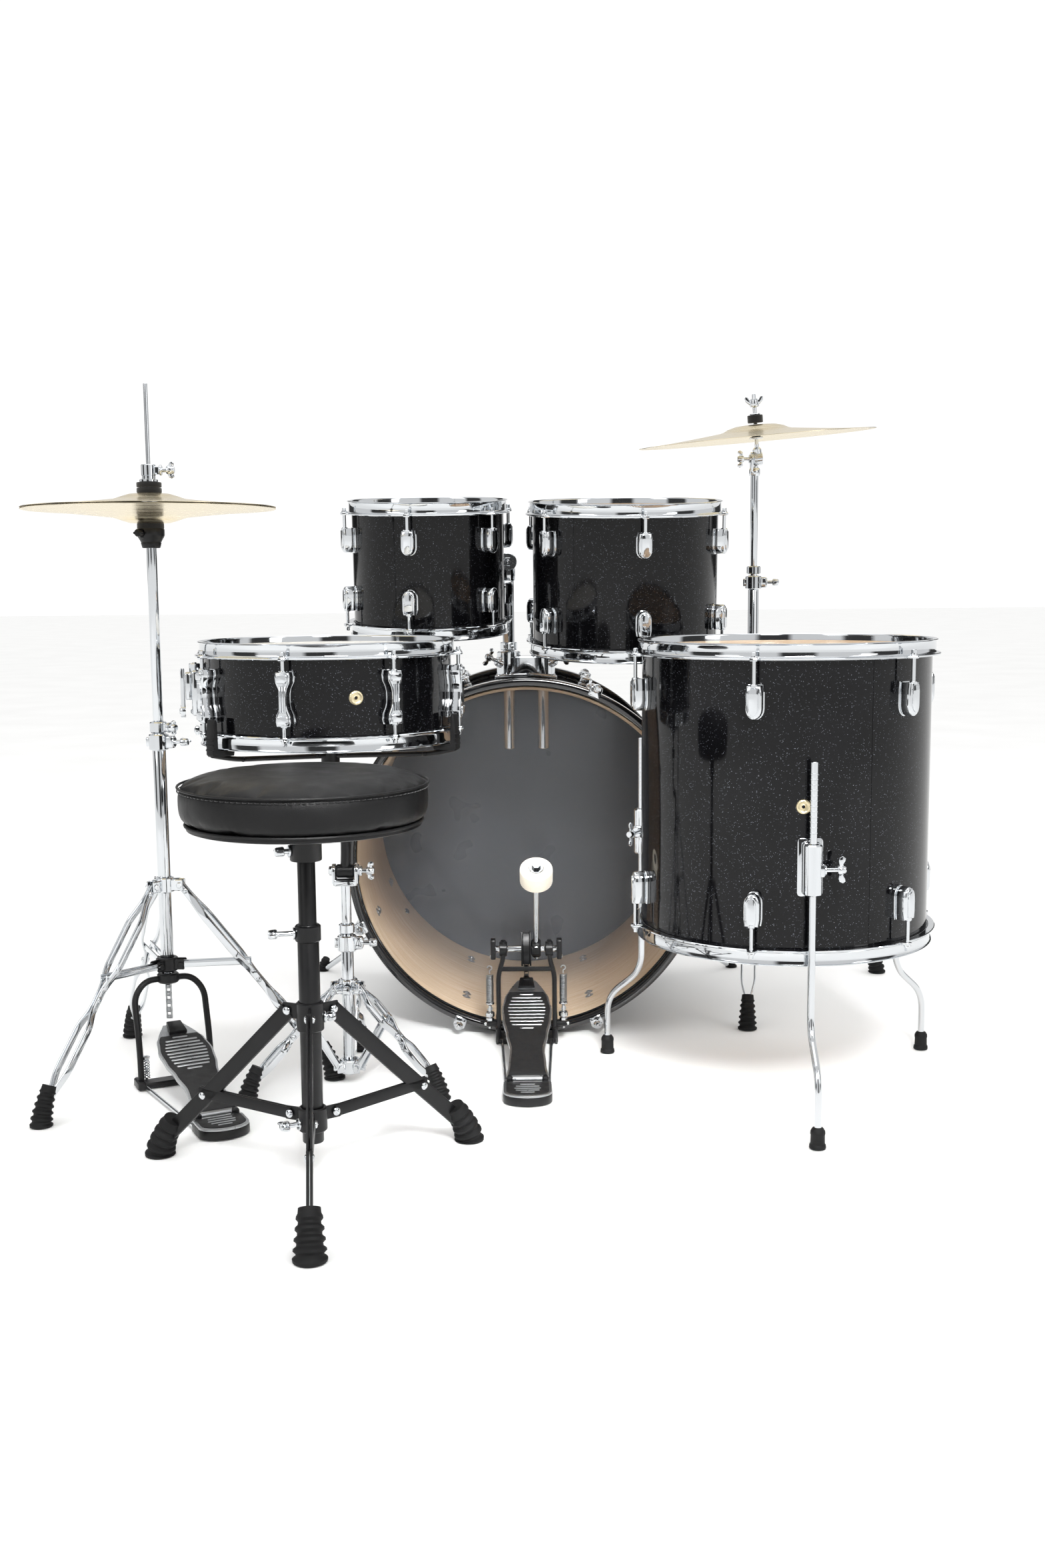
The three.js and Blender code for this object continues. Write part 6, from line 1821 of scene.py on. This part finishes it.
# ------------------------------------------------------------------ settings
class KitLook(bpy.types.PropertyGroup):
    """Finishes that a user may want to change."""

    fleck_size: bpy.props.FloatProperty(
        name="Fleck spacing", description="Spacing of the glitter flecks in the wrap, in millimetres",
        default=1.3, min=0.2, max=10.0)
    fleck_share: bpy.props.FloatProperty(
        name="Fleck share", description="Share of the fleck places that catch the light", default=0.12,
        min=0.0, max=1.0, subtype="FACTOR")
    film_opacity: bpy.props.FloatProperty(
        name="Film opacity", description="How much of the clear drumhead film is seen", default=0.12,
        min=0.0, max=1.0, subtype="FACTOR")
    ring_pitch: bpy.props.FloatProperty(
        name="Tool ring pitch", description="Spacing of the rings cut into the cymbals, in millimetres",
        default=3.2, min=0.5, max=10.0)


class SeatFill(bpy.types.PropertyGroup):
    """How the throne's cushion is stuffed and sewn."""

    pressure: bpy.props.FloatProperty(
        name="Pressure", description="Stuffing pressure of the cloth pass", default=4.0, min=0.0, max=20.0)
    travel_cap: bpy.props.FloatProperty(
        name="Travel cap", description="Furthest a point of the cover may swell, in millimetres",
        default=5.5, min=0.0, max=20.0)
    start_smaller: bpy.props.FloatProperty(
        name="Start smaller", description="How far the cushion starts inside its final wall, in millimetres",
        default=2.0, min=0.0, max=10.0)
    voxel: bpy.props.FloatProperty(
        name="Voxel", description="Grain of the remeshed cushion, in millimetres", default=5.0, min=3.0,
        max=12.0)
    stitch_length: bpy.props.FloatProperty(
        name="Stitch", description="Length of one stitch of the seam, in millimetres", default=5.0, min=2.0,
        max=12.0)


class StudioLight(bpy.types.PropertyGroup):
    """Stage light and camera."""

    backdrop_level: bpy.props.FloatProperty(
        name="Backdrop", description="Brightness of the plain backdrop", default=1.08, min=0.0, max=3.0)
    room_level: bpy.props.FloatProperty(
        name="Room", description="Brightness of the room mirrored in polished parts", default=0.75, min=0.0,
        max=3.0)
    gap_level: bpy.props.FloatProperty(
        name="Gaps", description="Brightness of the dark gaps between the soft boxes", default=0.06, min=0.0,
        max=1.0, subtype="FACTOR")
    key_power: bpy.props.FloatProperty(
        name="Key power", description="Power of the soft lights", default=26.0, min=0.0, max=1000.0,
        unit="POWER")
    lens: bpy.props.FloatProperty(
        name="Lens", description="Focal length of the camera", default=35.61, min=10.0, max=200.0,
        unit="CAMERA")


# ------------------------------------------------------------------ operators
class DRUMKIT_OT_finishes(bpy.types.Operator):
    bl_idname = "drumkit.finishes"
    bl_label = "Finishes"

    def execute(self, context):
        TREES.update(circle=circle_tree(), path=path_tree())
        make_finishes(context.scene.drumkit_look)
        return {"FINISHED"}


class DRUMKIT_OT_shells(bpy.types.Operator):
    """Build the wrapped ply shells of the toms and the snare, with their badges."""

    bl_idname = "drumkit.shells"
    bl_label = "Drum shells"

    def execute(self, context):
        for name, facts in DRUMS.items():
            shell_pieces(name, facts)
        snare, floor_tom = DRUMS["snare"], DRUMS["floor_tom"]
        badge_piece("snare_vent_badge", "snare_drum", -71.2, snare["radius"], 0, snare["at"])
        badge_piece("floor_tom_vent_badge", "kit_floor", -92.2, floor_tom["radius"], 0, floor_tom["at"])
        return {"FINISHED"}


class DRUMKIT_OT_hardware(bpy.types.Operator):
    """Build the lugs, tension rods and flanged hoops of the toms and the snare."""

    bl_idname = "drumkit.hardware"
    bl_label = "Lugs, rods and hoops"

    def execute(self, context):
        for name, facts in DRUMS.items():
            lug_pieces(name, facts)
            for end in ("top", "bottom"):
                hoop_piece(name, facts, end)
        return {"FINISHED"}


class DRUMKIT_OT_heads(bpy.types.Operator):
    """Stretch the drumheads of the toms and the snare."""

    bl_idname = "drumkit.heads"
    bl_label = "Drumheads"

    def execute(self, context):
        for name, facts in DRUMS.items():
            for end in ("top", "bottom"):
                coated = name == "snare" and end == "top"
                head_piece(name, facts, end, "coated" if coated else "clear")
        return {"FINISHED"}


class DRUMKIT_OT_bass(bpy.types.Operator):
    """Build the bass drum: shell, lugs, claws, hoops, heads and spurs."""

    bl_idname = "drumkit.bass"
    bl_label = "Bass drum"

    def execute(self, context):
        bass_shell_pieces()
        bass_hoops_and_heads()
        for side, word in zip(PAIR, ("left", "right")):
            bass_spur(side, word)
        return {"FINISHED"}


class DRUMKIT_OT_tom_mount(bpy.types.Operator):
    """Build the tom mount on the bass drum, its two posts and the brackets on the rack toms."""

    bl_idname = "drumkit.tom_mount"
    bl_label = "Tom mount"

    def execute(self, context):
        tom_mount()
        for side, x in zip(("left", "right"), MOUNT_X):
            tilter, arm_end = tom_bracket(f"tom_{side}", DRUMS[f"tom_{side}"], x)
            tom_post(side, tilter, arm_end)
        return {"FINISHED"}


class DRUMKIT_OT_floor_legs(bpy.types.Operator):
    """Build the three legs of the floor tom and their brackets."""

    bl_idname = "drumkit.floor_legs"
    bl_label = "Floor tom legs"

    def execute(self, context):
        floor_leg_brackets(DRUMS["floor_tom"])
        for index, angle in enumerate((150.4, 30.4, -89.6), 1):
            floor_leg(index, angle, DRUMS["floor_tom"])
        return {"FINISHED"}


class DRUMKIT_OT_snare_fittings(bpy.types.Operator):
    """Build the throw-off, butt plate and wires of the snare, and the basket that holds it."""

    bl_idname = "drumkit.snare_fittings"
    bl_label = "Snare fittings and basket"

    def execute(self, context):
        snare_fittings()
        snare_basket_piece()
        return {"FINISHED"}


class DRUMKIT_OT_stands(bpy.types.Operator):
    """Build the tripods of the snare stand, hi-hat and crash stand, and the snare stand's fork."""

    bl_idname = "drumkit.stands"
    bl_label = "Stands"

    def execute(self, context):
        tripod("snare_stand", "snare_stand_base", SNARE_STAND_AT, 9.0, 7.4, 145, 25, 222, 159, (65, 112),
               (-150, -30, 90), 20, 46, 15, 22, 13, 0)
        tripod("hihat_stand", "hihat_base", HIHAT_AT, 9.5, 7.2, 293, 174, 516, 245, (120, 181),
               (237.4, 117.4, -2.6), 24, 52, 16, 26, 162, -8, "black")
        tripod("crash_stand", "crash_base", CRASH_AT, 9.0, 6.4, 320, 190, 738, 271, (135, 200),
               (-99, 21, 141), 24, 52, 16, 26, 170, -8)
        snare_stand_tube_piece()
        return {"FINISHED"}


class DRUMKIT_OT_hihat(bpy.types.Operator):
    """Build the hi-hat above its tripod: tube, cup, felts, clutch, cymbals, pull rod and pedal."""

    bl_idname = "drumkit.hihat"
    bl_label = "Hi-hat"

    def execute(self, context):
        hihat_pieces()
        hihat_pull()
        hihat_pedal_pieces()
        return {"FINISHED"}


class DRUMKIT_OT_crash(bpy.types.Operator):
    """Build the crash cymbal with its tilter."""

    bl_idname = "drumkit.crash"
    bl_label = "Crash cymbal"

    def execute(self, context):
        crash_pieces()
        return {"FINISHED"}


class DRUMKIT_OT_throne_base(bpy.types.Operator):
    """Build the throne's column, legs and feet."""

    bl_idname = "drumkit.throne_base"
    bl_label = "Throne base"

    def execute(self, context):
        throne_base()
        return {"FINISHED"}


class DRUMKIT_OT_throne_seat(bpy.types.Operator):
    """Stuff and stitch the throne's seat."""

    bl_idname = "drumkit.throne_seat"
    bl_label = "Throne seat"

    def execute(self, context):
        throne_seat_pieces(context.scene.drumkit_seat)
        return {"FINISHED"}


class DRUMKIT_OT_kick_pedal(bpy.types.Operator):
    """Build the bass drum pedal: frame, springs, footboard, chain and beater."""

    bl_idname = "drumkit.kick_pedal"
    bl_label = "Bass drum pedal"

    def execute(self, context):
        kick_frame_pieces()
        kick_chain_piece()
        kick_beater_pieces()
        footboard = bpy.data.objects.get("kick_board_casting")
        if footboard is None:
            raise RuntimeError("the bass drum pedal has no footboard")
        return {"FINISHED"}


class DRUMKIT_OT_stage(bpy.types.Operator):
    """Set the floor, light and camera."""

    bl_idname = "drumkit.stage"
    bl_label = "Stage"

    def execute(self, context):
        make_stage(context.scene.drumkit_stage)
        return {"FINISHED"}


OPERATORS = (
    DRUMKIT_OT_finishes, DRUMKIT_OT_stage, DRUMKIT_OT_shells, DRUMKIT_OT_hardware, DRUMKIT_OT_heads,
    DRUMKIT_OT_bass, DRUMKIT_OT_tom_mount, DRUMKIT_OT_floor_legs, DRUMKIT_OT_snare_fittings,
    DRUMKIT_OT_stands, DRUMKIT_OT_hihat, DRUMKIT_OT_crash, DRUMKIT_OT_throne_base,
    DRUMKIT_OT_throne_seat, DRUMKIT_OT_kick_pedal)
SETTINGS = {"drumkit_look": KitLook, "drumkit_seat": SeatFill, "drumkit_stage": StudioLight}


class DRUMKIT_PT_panel(bpy.types.Panel):
    bl_idname = "DRUMKIT_PT_panel"
    bl_label = "Drum kit"
    bl_space_type = "VIEW_3D"
    bl_region_type = "UI"
    bl_category = "Drum kit"

    def draw(self, context):
        for group in SETTINGS:
            box = self.layout.box()
            settings = getattr(context.scene, group)
            for prop in settings.bl_rna.properties:
                if not prop.is_readonly and prop.identifier != "name":
                    box.prop(settings, prop.identifier)
        for each in OPERATORS:
            self.layout.operator(each.bl_idname)


CLASSES = (*SETTINGS.values(), *OPERATORS, DRUMKIT_PT_panel)


def register():
    for each in CLASSES:
        bpy.utils.register_class(each)
    for name, group in SETTINGS.items():
        setattr(bpy.types.Scene, name, bpy.props.PointerProperty(type=group))


def unregister():
    for name in SETTINGS:
        delattr(bpy.types.Scene, name)
    for each in reversed(CLASSES):
        bpy.utils.unregister_class(each)


def main():
    register()
    for each in OPERATORS:
        group, name = each.bl_idname.split(".")
        getattr(getattr(bpy.ops, group), name)()


if __name__ == "__main__":
    main()
